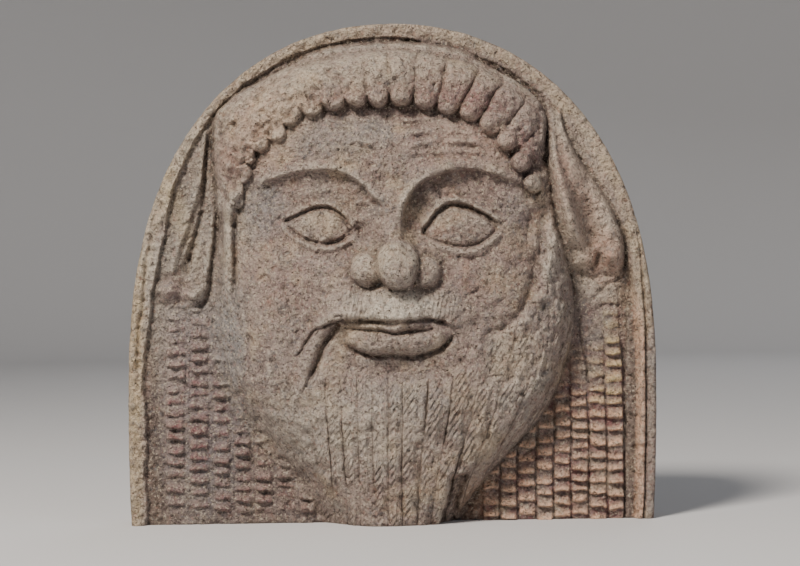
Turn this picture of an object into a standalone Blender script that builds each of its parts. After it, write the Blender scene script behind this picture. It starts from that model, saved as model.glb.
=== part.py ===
# Terracotta antefix: a round-topped plaque with the head of a horse-eared silen in high relief.
# One mould-made piece. Sizes are in millimetres and become metres where the mesh is made.
# The relief is worked out lying down: across is the width, up the height, and the relief rises from the back.
import bmesh
import bpy
import numpy as np
from math import radians

mm = 0.001

# plaque
plaque_half_width = 111.0
plaque_height = 209.6
straight_side = 50.0        # height at which the arch springs
arch_fullness = 2.6         # exponents of the arch: higher is squarer
arch_roundness = 2.1
foot_tuck = 1.2             # the sides draw in a little towards the foot
lean = 0.85                 # degrees: the foot was cut slightly out of square
field_level = 21.5          # thickness of the slab behind the head
rim_level = 26.0

# head
head_rise = 29.0            # of the cheeks above the field
cheek_level = 105.0         # above this the head falls back towards the crown
crown_level = 203.0
head_top = 200.0
left_flank = 20.0           # width over which the beard is let down to the slab
right_flank = 14.0
flank_top = 122.0           # and the height below which it is
foot_fall = 0.38            # share by which the beard leans back at its foot
fall_from = 64.0
nose_tip_rise = 19.0
socket_slope = 4.0          # width of the slope under a brow
socket_fade = (94, 132)     # heights between which the sockets run out into the cheeks
moustache_bow = 0.004       # the moustache's lower edge bends down at both ends
chip_slant = 0.21           # of the gap left by the missing strand
chip_depth = 5.0

# hair
lock_pitch = 8.7            # degrees
middle_lock = 3.4           # direction of the lock over the nose, degrees
lock_tip = 3.6              # radius of a lock's round tip
hair_centre = (-0.2, 114.2)
hair_outer = 88.0
hair_half_angle = 79.0
hair_base = 24.4

# mesh
sheet_margin = 7.0
sheet_step = 1.2
kept_share = 0.118          # of the sheet's triangles, after thinning
back_allowance = 3.0
outline_spans = 72
block_height = 100.0        # of the block that trims the sheet


def smooth_step(low, high, value):
    share = np.clip((value - low) / (high - low), 0, 1)
    return share * share * (3 - 2 * share)


def curve_through(points, closed=False, per_span=6):
    """Catmull-Rom curve through the points."""
    points = np.array(points, float)
    if closed:
        points = np.vstack([points[-1:], points, points[:2]])
    else:
        points = np.vstack([2 * points[0] - points[1], points, 2 * points[-1] - points[-2]])
    a, b, c, d = (points[i:len(points) - 3 + i, None] for i in range(4))
    t = (np.arange(per_span) / per_span)[None, :, None]
    bend = (2 * a - 5 * b + 4 * c - d) * t ** 2 + (3 * b - a - 3 * c + d) * t ** 3
    line = (b + ((c - a) * t + bend) / 2).reshape(-1, 2)
    return line if closed else np.vstack([line, points[-2]])


def beside_curve(across, up, line, reach, closed=False):
    """Index of the nearby places, their distance, their side and their share of the way along."""
    low, high = line.min(0) - reach, line.max(0) + reach
    near = np.nonzero((across > low[0]) & (across < high[0]) & (up > low[1]) & (up < high[1]))[0]
    x, y = across[near], up[near]
    ends = np.vstack([line, line[:1]]) if closed else line
    steps = np.diff(ends, axis=0)
    lengths = np.hypot(*steps.T)
    total = lengths.sum()
    run = 0.0
    distance = np.full(x.shape, np.inf)
    side = np.zeros(x.shape)
    along = np.zeros(x.shape)
    for (start_x, start_y), (dx, dy), length in zip(ends, steps, lengths):
        t = np.clip(((x - start_x) * dx + (y - start_y) * dy) / length ** 2, 0, 1)
        off_x = x - start_x - t * dx
        off_y = y - start_y - t * dy
        far = np.hypot(off_x, off_y)
        closer = far < distance
        distance = np.where(closer, far, distance)
        side = np.where(closer, dx * off_y - dy * off_x, side)
        along = np.where(closer, (run + t * length) / total, along)
        run += length
    return near, distance, np.sign(side), along


def in_oval(across, up, centre, radii, turn=0.0):
    """Squared distance from the centre, in radii."""
    angle = radians(turn)
    x, y = across - centre[0], up - centre[1]
    u = (x * np.cos(angle) + y * np.sin(angle)) / radii[0]
    v = (y * np.cos(angle) - x * np.sin(angle)) / radii[1]
    return u * u + v * v


def add_mound(height, across, up, centre, radii, rise, turn=0.0, edge=2.0):
    """A soft mound, or a hollow where rise is below zero."""
    height += rise * np.clip(1 - in_oval(across, up, centre, radii, turn), 0, None) ** edge


def add_ball(height, across, up, centre, radii, level, rise, softness, turn=0.0):
    """Half an egg that starts at a level under the surface, with a soft joint where the two meet."""
    apart = in_oval(across, up, centre, radii, turn)
    inside = apart < 1
    egg = level[inside] + rise * np.sqrt(1 - apart[inside])
    overlap = np.clip(softness - np.abs(height[inside] - egg), 0, None)
    height[inside] = np.maximum(height[inside], egg) + overlap ** 2 / (4 * softness)


def add_ridge(height, across, up, points, rise, width, ends=(0.1, 0.1)):
    """A ridge along a curve, or a groove where rise is below zero."""
    near, distance, _, along = beside_curve(across, up, curve_through(points), 2.6 * np.max(width))
    widths = np.interp(along, np.linspace(0, 1, np.size(width)), np.atleast_1d(width))
    rises = np.interp(along, np.linspace(0, 1, np.size(rise)), np.atleast_1d(rise))
    fade = smooth_step(0, ends[0], along) * smooth_step(0, ends[1], 1 - along)
    height[near] += rises * fade * np.exp(-(distance / widths) ** 2)


def arch_half_width(up):
    t = np.clip((up - straight_side) / (plaque_height - straight_side), 0, 1)
    low = np.clip(1 - up / straight_side, 0, 1)
    return plaque_half_width * (1 - t ** arch_fullness) ** (1 / arch_roundness) - foot_tuck * low ** 2


def arch_outline(foot=0.0):
    """From the left foot over the top to the right foot; the foot line follows the lean."""
    rise = np.sin(np.linspace(0, np.pi / 2, outline_spans // 2 + 1))
    up = straight_side + (plaque_height - straight_side) * rise
    half = arch_half_width(up)
    left = np.column_stack([-half, up])
    right = np.column_stack([half, up])[::-1]
    foot_half = arch_half_width(np.array([0.0]))[0]
    slope = foot_half * np.tan(radians(lean))
    return np.vstack([[[-foot_half, foot - slope]], left, right[1:], [[foot_half, foot + slope]]])


# (height, viewer's left edge, viewer's right edge) of the head, from the foot of the beard to the crown
head_levels = ((-30, -14, 12), (0, -29.5, 26), (22, -46.5, 42.5), (45, -66, 63), (70, -75.5, 74),
               (95, -76, 76.4), (125, -73.2, 70.4), (155, -74.7, 65.2), (172, -73, 64), (183, -60, 55),
               (194.5, -38, 35))

# round the rim, from the left foot over the top to the right foot:
# share of the way, width of the flat band, drop of the step inside it and width of that step
rim_stations = ((0, 6.2, 2.0, 1.4), (0.12, 6.4, 2.4, 1.2), (0.21, 8.2, 2.8, 0.9), (0.28, 4.9, 3.0, 0.9),
                (0.35, 3.0, 2.5, 1.1), (0.41, 4.5, 2.0, 0.8), (0.51, 5.7, 1.4, 0.7), (0.61, 7.1, 1.1, 0.8),
                (0.66, 5.4, 1.8, 4.5), (0.70, 4.4, 2.4, 6.5), (0.74, 3.2, 2.6, 5.5), (0.80, 6.0, 4.8, 2.4),
                (1, 6.3, 5.4, 2.0))


def plaque_relief(across, up):
    """Slab, raised rim with the groove down its right-hand side, and the worn arris."""
    outline = arch_outline(foot=-12.0)
    _, distance, side, along = beside_curve(across, up, outline, plaque_height)
    edge = np.where(side < 0, distance, 0)
    stations, bands, drops, slopes = np.array(rim_stations).T
    band = np.interp(along, stations, bands)
    slope = np.interp(along, stations, slopes)
    height = rim_level - np.interp(along, stations, drops) * smooth_step(band - 0.2, band + slope, edge)
    height -= 1.6 * smooth_step(0.76, 0.84, along) * np.exp(-((edge - 4.1) / 0.8) ** 2)
    height -= 1.3 * np.clip(1 - edge / 1.6, 0, 1) ** 2
    return height, edge


def head_dome(across, up):
    """Depth inside the head's outline, and the swell of the head: steeper on the viewer's right."""
    left = [(low, level) for level, low, _ in head_levels]
    right = [(high, level) for level, _, high in head_levels]
    outline = curve_through(left + [(0.0, head_top)] + right[::-1], closed=True)
    near, distance, side, _ = beside_curve(across, up, outline, 6.0, closed=True)
    depth = np.full(across.shape, -9.0)
    depth[near] = np.where(side < 0, distance, -distance)
    left_side, right_side = curve_through(left), curve_through(right)
    low = np.interp(up, left_side[:, 1], left_side[:, 0])
    high = np.interp(up, right_side[:, 1], right_side[:, 0])
    share = (2 * across - low - high) / (high - low)
    left_arc = (1 - np.clip(-share, 0, 1) ** 2.2) ** (1 / 1.75)
    right_arc = (1 - np.clip(share, 0, 1) ** 2.6) ** (1 / 2.6)
    fall = (1 - np.clip((up - cheek_level) / (crown_level - cheek_level), 0, 1) ** 2.4) ** 0.5
    # the beard is let down to the slab in a quarter circle, and leans back at its foot
    flank = 1 - (1 - np.clip(depth / np.where(share < 0, left_flank, right_flank), 0, 1)) ** 2
    flank = flank ** np.where(share < 0, 1.0, 0.42)
    flank = 1 - (1 - flank) * smooth_step(flank_top, flank_top - 24, up)
    lean_back = foot_fall * np.clip(1 - up / fall_from, 0, 1) ** 1.6
    return depth, flank * (1 - lean_back) * np.where(share < 0, left_arc, right_arc) * fall


def carve_brow(face, across, up, crest, rise, width, drop, start, full):
    """A brow: the socket drops away beneath its crest."""
    near, distance, side, _ = beside_curve(across, up, curve_through(crest), 52.0)
    near, distance = near[side < 0], distance[side < 0]
    fade = smooth_step(start, full, across[near]) * smooth_step(*socket_fade, up[near])
    fade *= smooth_step(52, 30, distance)
    face[near] -= drop * (1 - np.exp(-distance / socket_slope)) * fade
    add_ridge(face, across, up, crest, rise, width, ends=(0.12, 0.06))


def carve_brows(face, across, up):
    add_mound(face, across, up, (0, 156), (50, 14), 2.2)
    add_mound(face, across, up, (0, 171), (52, 12), -2.0)
    left = ((-57, 139.6), (-47, 144.6), (-36.6, 147), (-25.6, 147.4), (-13.6, 142.4), (-3.4, 131.4))
    right = ((3.2, 125.6), (7, 137), (16.6, 144.8), (30.2, 147.8), (44, 144.8), (57, 140.6))
    carve_brow(face, across, up, left, (1.0, 1.6, 2.6), 2.6, 3.0, -60, -47)
    carve_brow(face, across, up, right, (2.2, 2.4, 1.2), 2.6, 2.8, 2.4, 8)


def carve_eye(face, across, up, centre, radii, turn, upper, lower, lid):
    """Eyeball set in its lids."""
    apart = in_oval(across, up, centre, radii, turn)
    face += 4.0 * np.clip(1 - apart, 0, 1) ** 0.8
    add_ridge(face, across, up, upper, -1.6, 1.2)
    add_ridge(face, across, up, lower, lid, 1.5)


def carve_eyes(face, across, up):
    add_mound(face, across, up, (-30, 123), (23, 17), -1.6, -6)
    add_mound(face, across, up, (29, 122), (25, 18), -1.6, 2)
    carve_eye(face, across, up, (-30.2, 124.2), (14.4, 8.2), -9,
              ((-44.6, 126), (-32, 131.6), (-25, 131.2), (-17, 122)),
              ((-45.6, 126.2), (-34.4, 115.8), (-28.4, 114.5), (-12.4, 119.4)), 1.6)
    carve_eye(face, across, up, (27.6, 123.6), (15.4, 9.4), 2,
              ((12.9, 119.6), (21.2, 131.9), (28.2, 132.6), (43.8, 123.8)),
              ((13.6, 118.4), (26.6, 113.5), (39.4, 117), (44.8, 124)), 2.2)


def carve_nose(face, across, up):
    """Narrow bridge on a broad root, round tip and wings."""
    base = face - 3.0
    bridge = ((-3, 143), (-0.2, 129), (0.4, 122), (1, 115))
    add_ridge(face, across, up, bridge, (1.6, 3.6, 5.0, 5.4), (6.0, 5.2, 6.5), ends=(0.25, 0.01))
    add_mound(face, across, up, (1.6, 108), (20, 20), 3.6)
    add_mound(face, across, up, (3, 103), (9, 6), 1.4, edge=1.2)
    add_ball(face, across, up, (-10, 106.4), (7.8, 7.6), base, 12.4, 4.6, 10)
    add_ball(face, across, up, (13.4, 105.2), (6.8, 7.3), base, 10.8, 2.6)
    add_ball(face, across, up, (2, 109.6), (9.7, 10.6), base, nose_tip_rise, 4.0, 6)


def carve_mouth(face, across, up):
    """Muzzle, moustache with its one surviving tail, lips and the hollow under them."""
    add_mound(face, across, up, (0, 90), (38, 24), 4.6)
    add_mound(face, across, up, (1, 62.5), (42, 13), -3.0)
    add_mound(face, across, up, (2, 46), (38, 20), 2.0)
    above = up - 85.4 + moustache_bow * across ** 2
    plate = smooth_step(-0.8, 0.8, above) * np.exp(-(above / 7.5) ** 2)
    face += 2.7 * plate * smooth_step(-35, -25, across) * smooth_step(30, 18, across)
    tail = ((-14, 88.5), (-24, 85.2), (-33.4, 74), (-38.6, 57))
    tail_side = ((-21.4, 84.6), (-28, 74.6), (-34.6, 59.6), (-38.6, 52.6))
    add_ridge(face, across, up, tail, (1.2, 2.0, 1.2), (3.4, 3.0, 2.0), ends=(0.05, 0.25))
    add_ridge(face, across, up, tail_side, (-3.4, -2.8, -1.0), 1.4, ends=(0.03, 0.15))
    upper_lip = ((-19.4, 83.4), (-4, 82.7), (5, 83.2), (17.6, 84.6))
    lip_gap = ((-21, 82.6), (-8, 81.2), (0.6, 79.7), (18.6, 82))
    lower_lip = ((-20, 79.6), (-6, 75.8), (8, 75.6), (22.6, 79.6))
    below_lip = ((-22, 78.6), (-12.6, 71.9), (0.6, 70.6), (12.4, 70.9), (25.4, 80))
    add_ridge(face, across, up, upper_lip, 1.3, 1.3)
    add_ridge(face, across, up, lip_gap, -2.0, 0.9)
    add_ridge(face, across, up, lower_lip, (1.4, 2.9, 1.8), 3.8)
    add_ridge(face, across, up, below_lip, (-0.9, -2.2, -1.8), 1.2)


def carve_cheeks_and_beard(face, across, up):
    add_mound(face, across, up, (-33, 100), (30, 24), 2.6)
    add_mound(face, across, up, (37, 98), (28, 26), 2.6)
    add_mound(face, across, up, (57, 114), (11, 34), -2.2)
    add_mound(face, across, up, (-62, 84), (12, 30), -1.2, 12)
    cheek_edge = ((61.5, 142), (61.6, 116), (54, 91), (31, 76))
    side_beard = ((65, 138), (65, 106), (50.5, 80.5), (32, 71))
    temple_strand = ((-64.6, 138), (-68.6, 124), (-67.4, 96))
    add_ridge(face, across, up, cheek_edge, (-0.8, -1.8, -0.5), 1.9, ends=(0.12, 0.25))
    add_ridge(face, across, up, side_beard, (1.0, 2.0, 0.5), 4.0, ends=(0.12, 0.35))
    add_ridge(face, across, up, temple_strand, (2.2, 3.0, 2.0), 1.8, ends=(0.1, 0.3))
    # a strand is missing at the foot of the beard
    slant = across - chip_slant * up
    chip = smooth_step(19.7, 20.9, slant) * smooth_step(27.2, 25.4, slant) * smooth_step(23, 19, up)
    face -= chip_depth * chip


def hair_relief(across, up, face, depth):
    """Fringe of radial locks with a rounded tip each; the left ones are worn nearly smooth."""
    x, y = across - hair_centre[0], up - hair_centre[1]
    radius = np.hypot(x, y)
    angle = np.degrees(np.arctan2(x, y))
    place = (angle - middle_lock) / lock_pitch
    roundness = np.sqrt(np.clip(1 - (2 * (place - np.round(place))) ** 2, 0, 1))
    inner = np.interp(angle, (-70, -50, -10, 20, 45, 65), (68, 69.6, 62.8, 62.8, 65.2, 65.8))
    inner -= lock_tip * roundness
    stations = (-80, -60, -35, 0, 35, 55, 78)
    crest = np.interp(angle, stations, (34, 42, 47.4, 49, 47.4, 42.6, 33))
    groove = np.interp(angle, stations, (0, 0, 0.6, 2.2, 4.0, 2.8, 1.6))
    t = np.clip((radius - 70) / (hair_outer - 70), 0, 1)
    body = rim_level + (crest - rim_level) * (1 - t ** 2.3) ** 0.6
    body += (roundness - 0.72) * groove * smooth_step(hair_outer, hair_outer - 6, radius)
    flank = np.sqrt(1 - (1 - np.clip(depth / 6.0, 0, 1)) ** 2)
    body = hair_base + (body - hair_base) * flank
    rest = hair_half_angle - np.abs(angle + 1.5)
    fade = smooth_step(0, 14, rest)
    start = np.clip((radius - inner) / 3.0, 0, 1)
    low = face + (np.maximum(face - 0.6, body - 6.0) - face) * fade
    high = face + (np.maximum(body, face + 3.2) - face) * fade
    return low + (high - low) * np.sqrt(1 - (1 - start) ** 2), (radius > inner) & (rest > 0)


def raise_ears(height, across, up):
    """Horse's ears laid along the rim, the left one folded shut and the right one open."""
    flap = ((-78.4, 166), (-80.6, 146.5), (-85.4, 129), (-93.6, 101))
    slit = ((-77.3, 164), (-79.2, 141), (-82.5, 122), (-87.6, 106.5))
    fold = ((-76.6, 150), (-75.8, 125), (-78.4, 104), (-87, 94))
    gap = ((-74.8, 153), (-74, 131), (-76, 109), (-79, 92.6), (-87, 90))
    add_mound(height, across, up, (-93.4, 97.6), (7.4, 6.4), 3.0)
    add_mound(height, across, up, (-84, 95.6), (6.6, 5.6), 3.4)
    add_ridge(height, across, up, flap, (1.2, 2.6, 2.4), (1.8, 3.6, 4.2), ends=(0.04, 0.1))
    add_ridge(height, across, up, slit, (-0.6, -1.0, -2.8), (0.8, 1.6), ends=(0.1, 0.12))
    add_ridge(height, across, up, fold, (0.8, 1.6, 2.4), (1.0, 2.4))
    add_ridge(height, across, up, gap, (-1.4, -2.4, -1.2), (0.8, 1.2), ends=(0.05, 0.1))
    inner_fold = ((66.4, 176), (66.7, 160), (71.4, 134.5), (80.4, 115.6))
    helix = ((69.4, 174), (77, 149.6), (89, 130), (93.8, 117), (91, 106))
    outer_line = ((70.6, 174), (78, 154), (92.4, 131.5), (98.4, 112), (91, 101))
    hollow = ((68.2, 168), (72.2, 144), (78, 130))
    add_mound(height, across, up, (70, 138), (13, 46), 13.0, 6)
    add_mound(height, across, up, (82.5, 130), (16, 42), 6.4, 22)
    add_mound(height, across, up, (80.6, 129), (5.6, 20), -3.2, 22)
    add_mound(height, across, up, (85, 105), (12, 13), 3.4, -30)
    add_ridge(height, across, up, inner_fold, (1.8, 3.8, 4.0), (1.4, 2.4), ends=(0.06, 0.08))
    add_ridge(height, across, up, helix, (1.8, 3.6, 3.2), (1.4, 4.0), ends=(0.05, 0.1))
    add_ridge(height, across, up, outer_line, (-1.4, -2.0, -1.2), (0.8, 1.1), ends=(0.05, 0.15))
    add_ridge(height, across, up, hollow, (-1.4, -2.4), (1.0, 2.8), ends=(0.15, 0.3))


def raise_side_panels(height, across, up, edge):
    """The grounds of small locks that hang beside the beard, and the strip outside the right-hand ones."""
    inset = (edge > 9).astype(float)
    for low, high, top, rise in ((37.5, 97.8, 84, 2.2), (-96.2, -41, 92, 1.5)):
        step = smooth_step(low, low + 0.8, across) * smooth_step(high, high - 0.8, across)
        height += rise * inset * step * smooth_step(top, top - 6, up)
    height += 1.5 * smooth_step(5, 9, edge) * smooth_step(98.1, 98.9, across) * smooth_step(104, 92, up)


def relief_height(across, up):
    height, edge = plaque_relief(across, up)
    depth, dome = head_dome(across, up)
    raise_ears(height, across, up)
    raise_side_panels(height, across, up, edge)
    face = field_level + 1 + head_rise * dome
    carve_cheeks_and_beard(face, across, up)
    carve_brows(face, across, up)
    carve_eyes(face, across, up)
    carve_nose(face, across, up)
    carve_mouth(face, across, up)
    hair, is_hair = hair_relief(across, up, face, depth)
    face = np.where(is_hair, hair, face)
    return np.maximum(height, face - 2 * np.clip(-depth, 0, None))


def relief_sheet():
    """A sheet a little larger than the plaque, raised to the relief and closed behind."""
    half_width = plaque_half_width + sheet_margin
    low, high = -sheet_margin, plaque_height + sheet_margin
    columns = round(2 * half_width / sheet_step)
    rows = round((high - low) / sheet_step)
    sheet = bmesh.new()
    bmesh.ops.create_grid(sheet, x_segments=columns, y_segments=rows, size=1.0)
    places = np.array([vertex.co[:2] for vertex in sheet.verts])
    across = places[:, 0] * half_width
    up = (low + high) / 2 + places[:, 1] * (high - low) / 2
    for vertex, x, y, z in zip(sheet.verts, across, up, relief_height(across, up)):
        vertex.co = (x * mm, y * mm, z * mm)
    rim_edges = [edge for edge in sheet.edges if edge.is_boundary]
    walls = bmesh.ops.extrude_edge_only(sheet, edges=rim_edges)["geom"]
    foot = [item for item in walls if isinstance(item, bmesh.types.BMVert)]
    for vertex in foot:
        vertex.co.z = -back_allowance * mm
    back_edges = [item for item in walls if isinstance(item, bmesh.types.BMEdge) and item.is_boundary]
    bmesh.ops.contextual_create(sheet, geom=back_edges)
    bmesh.ops.recalc_face_normals(sheet, faces=sheet.faces)
    return sheet


def outline_block():
    """The plaque's outline as a block, which trims the sheet to shape and gives the flat back."""
    block = bmesh.new()
    corners = [block.verts.new((x * mm, y * mm, 0)) for x, y in arch_outline()]
    back = block.faces.new(corners)
    raised = bmesh.ops.extrude_face_region(block, geom=[back])["geom"]
    front = [item for item in raised if isinstance(item, bmesh.types.BMVert)]
    bmesh.ops.translate(block, verts=front, vec=(0, 0, block_height * mm))
    bmesh.ops.recalc_face_normals(block, faces=block.faces)
    return block


def add_object(name, built, collection):
    mesh = bpy.data.meshes.new(name)
    built.to_mesh(mesh)
    built.free()
    thing = bpy.data.objects.new(name, mesh)
    collection.objects.link(thing)
    return thing


def fired_clay():
    """Sandy fired clay, matt, with no metal in it."""
    clay = bpy.data.materials.new("fired_clay")
    clay.use_nodes = True
    shader = clay.node_tree.nodes["Principled BSDF"]
    shader.inputs["Base Color"].default_value = (0.27, 0.205, 0.155, 1.0)
    shader.inputs["Roughness"].default_value = 0.92
    shader.inputs["Metallic"].default_value = 0.0
    return clay


for old in list(bpy.data.objects):
    bpy.data.objects.remove(old, do_unlink=True)

part_collection = bpy.data.collections.new("silen_antefix")
cutter_collection = bpy.data.collections.new("cutters")
bpy.context.scene.collection.children.link(part_collection)
bpy.context.scene.collection.children.link(cutter_collection)

# the relief is modelled lying on its back; this empty stands it up with its slight lean
stand = bpy.data.objects.new("stand", None)
part_collection.objects.link(stand)
stand.rotation_euler = (radians(90), radians(lean), 0)

antefix = add_object("antefix", relief_sheet(), part_collection)
antefix.parent = stand
antefix.data.materials.append(fired_clay())

trimmer = add_object("plaque_outline", outline_block(), cutter_collection)
trimmer.parent = stand
trimmer.hide_render = True
trimmer.display_type = "WIRE"

thin = antefix.modifiers.new("thin", "DECIMATE")
thin.ratio = kept_share
trim = antefix.modifiers.new("trim", "BOOLEAN")
trim.operation = "INTERSECT"
trim.solver = "EXACT"
trim.object = trimmer

# the origin is at the middle of the foot, halfway between the back and the tip of the nose
bpy.context.view_layer.update()
shaped = antefix.evaluated_get(bpy.context.evaluated_depsgraph_get())
corners = np.array([shaped.matrix_world @ vertex.co for vertex in shaped.data.vertices])
middle = (corners.min(0) + corners.max(0)) / 2
stand.location = (-middle[0], -middle[1], -corners[:, 2].min())
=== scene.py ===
# Terracotta antefix with a silen's head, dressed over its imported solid.
from math import cos, radians, sin, tan

import bmesh
import bpy
import numpy as np
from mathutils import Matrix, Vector


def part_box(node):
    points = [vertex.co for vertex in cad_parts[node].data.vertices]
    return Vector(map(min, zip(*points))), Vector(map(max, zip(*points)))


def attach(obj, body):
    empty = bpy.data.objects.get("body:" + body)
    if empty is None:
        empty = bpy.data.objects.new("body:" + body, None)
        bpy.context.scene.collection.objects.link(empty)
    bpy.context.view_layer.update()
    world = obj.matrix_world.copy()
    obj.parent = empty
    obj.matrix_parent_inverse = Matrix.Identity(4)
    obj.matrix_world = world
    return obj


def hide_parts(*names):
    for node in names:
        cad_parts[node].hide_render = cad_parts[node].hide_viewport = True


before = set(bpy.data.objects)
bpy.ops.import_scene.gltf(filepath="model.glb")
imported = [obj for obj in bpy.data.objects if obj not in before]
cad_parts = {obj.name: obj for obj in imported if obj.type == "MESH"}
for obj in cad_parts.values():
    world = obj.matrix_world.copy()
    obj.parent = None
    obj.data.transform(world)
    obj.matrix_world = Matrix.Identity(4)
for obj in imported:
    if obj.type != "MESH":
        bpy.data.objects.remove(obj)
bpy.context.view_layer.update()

mm = 0.001


# small tools for surfaces: everything is worked out on whole arrays, in millimetres,
# across the plaque (p), up it (q) and out from its back (height)

def smoothStep(low, high, x):
    # t squared times (3 - 2 t), with t the share of the way from low to high
    t = np.clip((x - low) / (high - low), 0.0, 1.0)
    return t * t * (3 - 2 * t)


def curveThrough(points, perSpan=8, closed=False):
    # Catmull-Rom spline: each span is a cubic of its two ends and their neighbours
    points = np.array(points, float)
    if closed:
        points = np.vstack([points[-1:], points, points[:2]])
    else:
        points = np.vstack([2 * points[0] - points[1], points, 2 * points[-1] - points[-2]])
    a, b, c, d = (points[i:len(points) - 3 + i, None] for i in range(4))
    t = (np.arange(perSpan) / perSpan)[None, :, None]
    line = b + 0.5 * ((c - a) * t + (2 * a - 5 * b + 4 * c - d) * t ** 2 + (3 * b - a - 3 * c + d) * t ** 3)
    line = line.reshape(-1, 2)
    return line if closed else np.vstack([line, points[-2]])


def besideCurve(p, q, line, reach, closed=False):
    # for the places within reach of a line: index, distance, side (left of travel is positive),
    # and share of the way along; the nearest of the line's straight pieces counts
    low, high = line.min(0) - reach, line.max(0) + reach
    near = np.nonzero((p > low[0]) & (p < high[0]) & (q > low[1]) & (q < high[1]))[0]
    x, y = p[near], q[near]
    ends = np.vstack([line, line[:1]]) if closed else line
    steps = np.diff(ends, axis=0)
    lengths = np.maximum(np.hypot(*steps.T), 1e-9)
    runs = np.concatenate([[0], np.cumsum(lengths)])
    distance = np.full(x.shape, 1e9)
    side = np.zeros(x.shape)
    along = np.zeros(x.shape)
    for (startX, startY), (dx, dy), length, run in zip(ends, steps, lengths, runs):
        t = np.clip(((x - startX) * dx + (y - startY) * dy) / length ** 2, 0, 1)
        offX, offY = x - startX - t * dx, y - startY - t * dy
        far = np.hypot(offX, offY)
        closer = far < distance
        distance = np.where(closer, far, distance)
        side = np.where(closer, dx * offY - dy * offX, side)
        along = np.where(closer, (run + t * length) / runs[-1], along)
    return near, distance, np.sign(side), along


def noise(p, q, size, seed):
    # smooth lattice noise from -1 to 1: random corners of cells of that size, eased between, the cells
    # turned by 37 degrees
    table = np.random.default_rng(seed).uniform(-1, 1, (256, 256))
    x, y = (0.8 * p + 0.6 * q) / size + 64.37, (0.8 * q - 0.6 * p) / size + 17.71
    column, row = np.floor(x).astype(int), np.floor(y).astype(int)
    fx, fy = x - column, y - row
    fx, fy = fx * fx * (3 - 2 * fx), fy * fy * (3 - 2 * fy)
    lowLeft, lowRight = table[column % 256, row % 256], table[(column + 1) % 256, row % 256]
    highLeft, highRight = table[column % 256, (row + 1) % 256], table[(column + 1) % 256, (row + 1) % 256]
    low = lowLeft + (lowRight - lowLeft) * fx
    high = highLeft + (highRight - highLeft) * fx
    return 1.4 * (low + (high - low) * fy)


def inOval(p, q, centre, radii, turn=0.0):
    # squared distance from the centre, measured in radii, the oval turned by turn degrees
    angle = radians(turn)
    x, y = p - centre[0], q - centre[1]
    u = (x * cos(angle) + y * sin(angle)) / radii[0]
    v = (y * cos(angle) - x * sin(angle)) / radii[1]
    return u * u + v * v


def mound(height, p, q, centre, radii, rise, turn=0.0, edge=2.0):
    # rise times (1 - r squared) to the edge power; below zero it is a hollow
    height += rise * np.clip(1 - inOval(p, q, centre, radii, turn), 0, None) ** edge


def pit(height, p, q, centre, radius, depth):
    # depth times e to the minus r cubed, the places shifted by noise so that the rim is uneven
    near = np.nonzero((np.abs(p - centre[0]) < 2.4 * radius) & (np.abs(q - centre[1]) < 2.4 * radius))[0]
    x, y = p[near], q[near]
    x = x + 0.4 * radius * noise(x, y, 1.7 * radius, 5)
    y = y + 0.4 * radius * noise(x, y, 1.7 * radius, 6)
    height[near] -= depth * np.exp(-inOval(x, y, centre, (radius, radius)) ** 1.5)


def ball(height, p, q, centre, radii, level, rise, soft, turn=0.0, full=1.0):
    # half an egg that starts at a level under the surface, blunter when full is above one; the two are
    # united with a soft joint: the higher one plus (soft - their difference) squared over four times soft
    apart = inOval(p, q, centre, radii, turn)
    inside = np.nonzero(apart < 1)[0]
    egg = level[inside] + rise * np.sqrt(1 - apart[inside] ** full)
    overlap = np.clip(soft - np.abs(height[inside] - egg), 0, None)
    height[inside] = np.maximum(height[inside], egg) + overlap ** 2 / (4 * soft)


def ridge(height, p, q, points, rise, width, ends=(0.1, 0.1), lopsided=1.0, sharp=2.0):
    # rise times e to the minus (distance / width) to the sharp power, thinning out over its ends;
    # below zero it is a groove, and lopsided widens its right-hand side
    rise, width = np.atleast_1d(rise).astype(float), np.atleast_1d(width).astype(float)
    near, distance, side, along = besideCurve(p, q, curveThrough(points),
        2.6 * width.max() * max(1, lopsided))
    w = np.interp(along, np.linspace(0, 1, len(width)), width)
    w = np.where(side < 0, w * lopsided, w)
    r = np.interp(along, np.linspace(0, 1, len(rise)), rise)
    if ends[0] > 0:
        r = r * smoothStep(0, ends[0], along)
    if ends[1] > 0:
        r = r * smoothStep(0, ends[1], 1 - along)
    height[near] += r * np.exp(-(distance / w) ** sharp)


def addMounds(height, p, q, mounds):
    for shape in mounds:
        mound(height, p, q, *shape)


def addLines(height, p, q, piece):
    # a piece's ridges and grooves, each with its points, rise, width, ends and, if need be, how lopsided
    # and how sharp it is; then its nicks, each across, up, radius and depth
    for line in piece["lines"]:
        ridge(height, p, q, *line)
    for x, y, radius, depth in piece["nicks"]:
        pit(height, p, q, (x, y), radius, depth)


# plaque: slab, rim and arch

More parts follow.
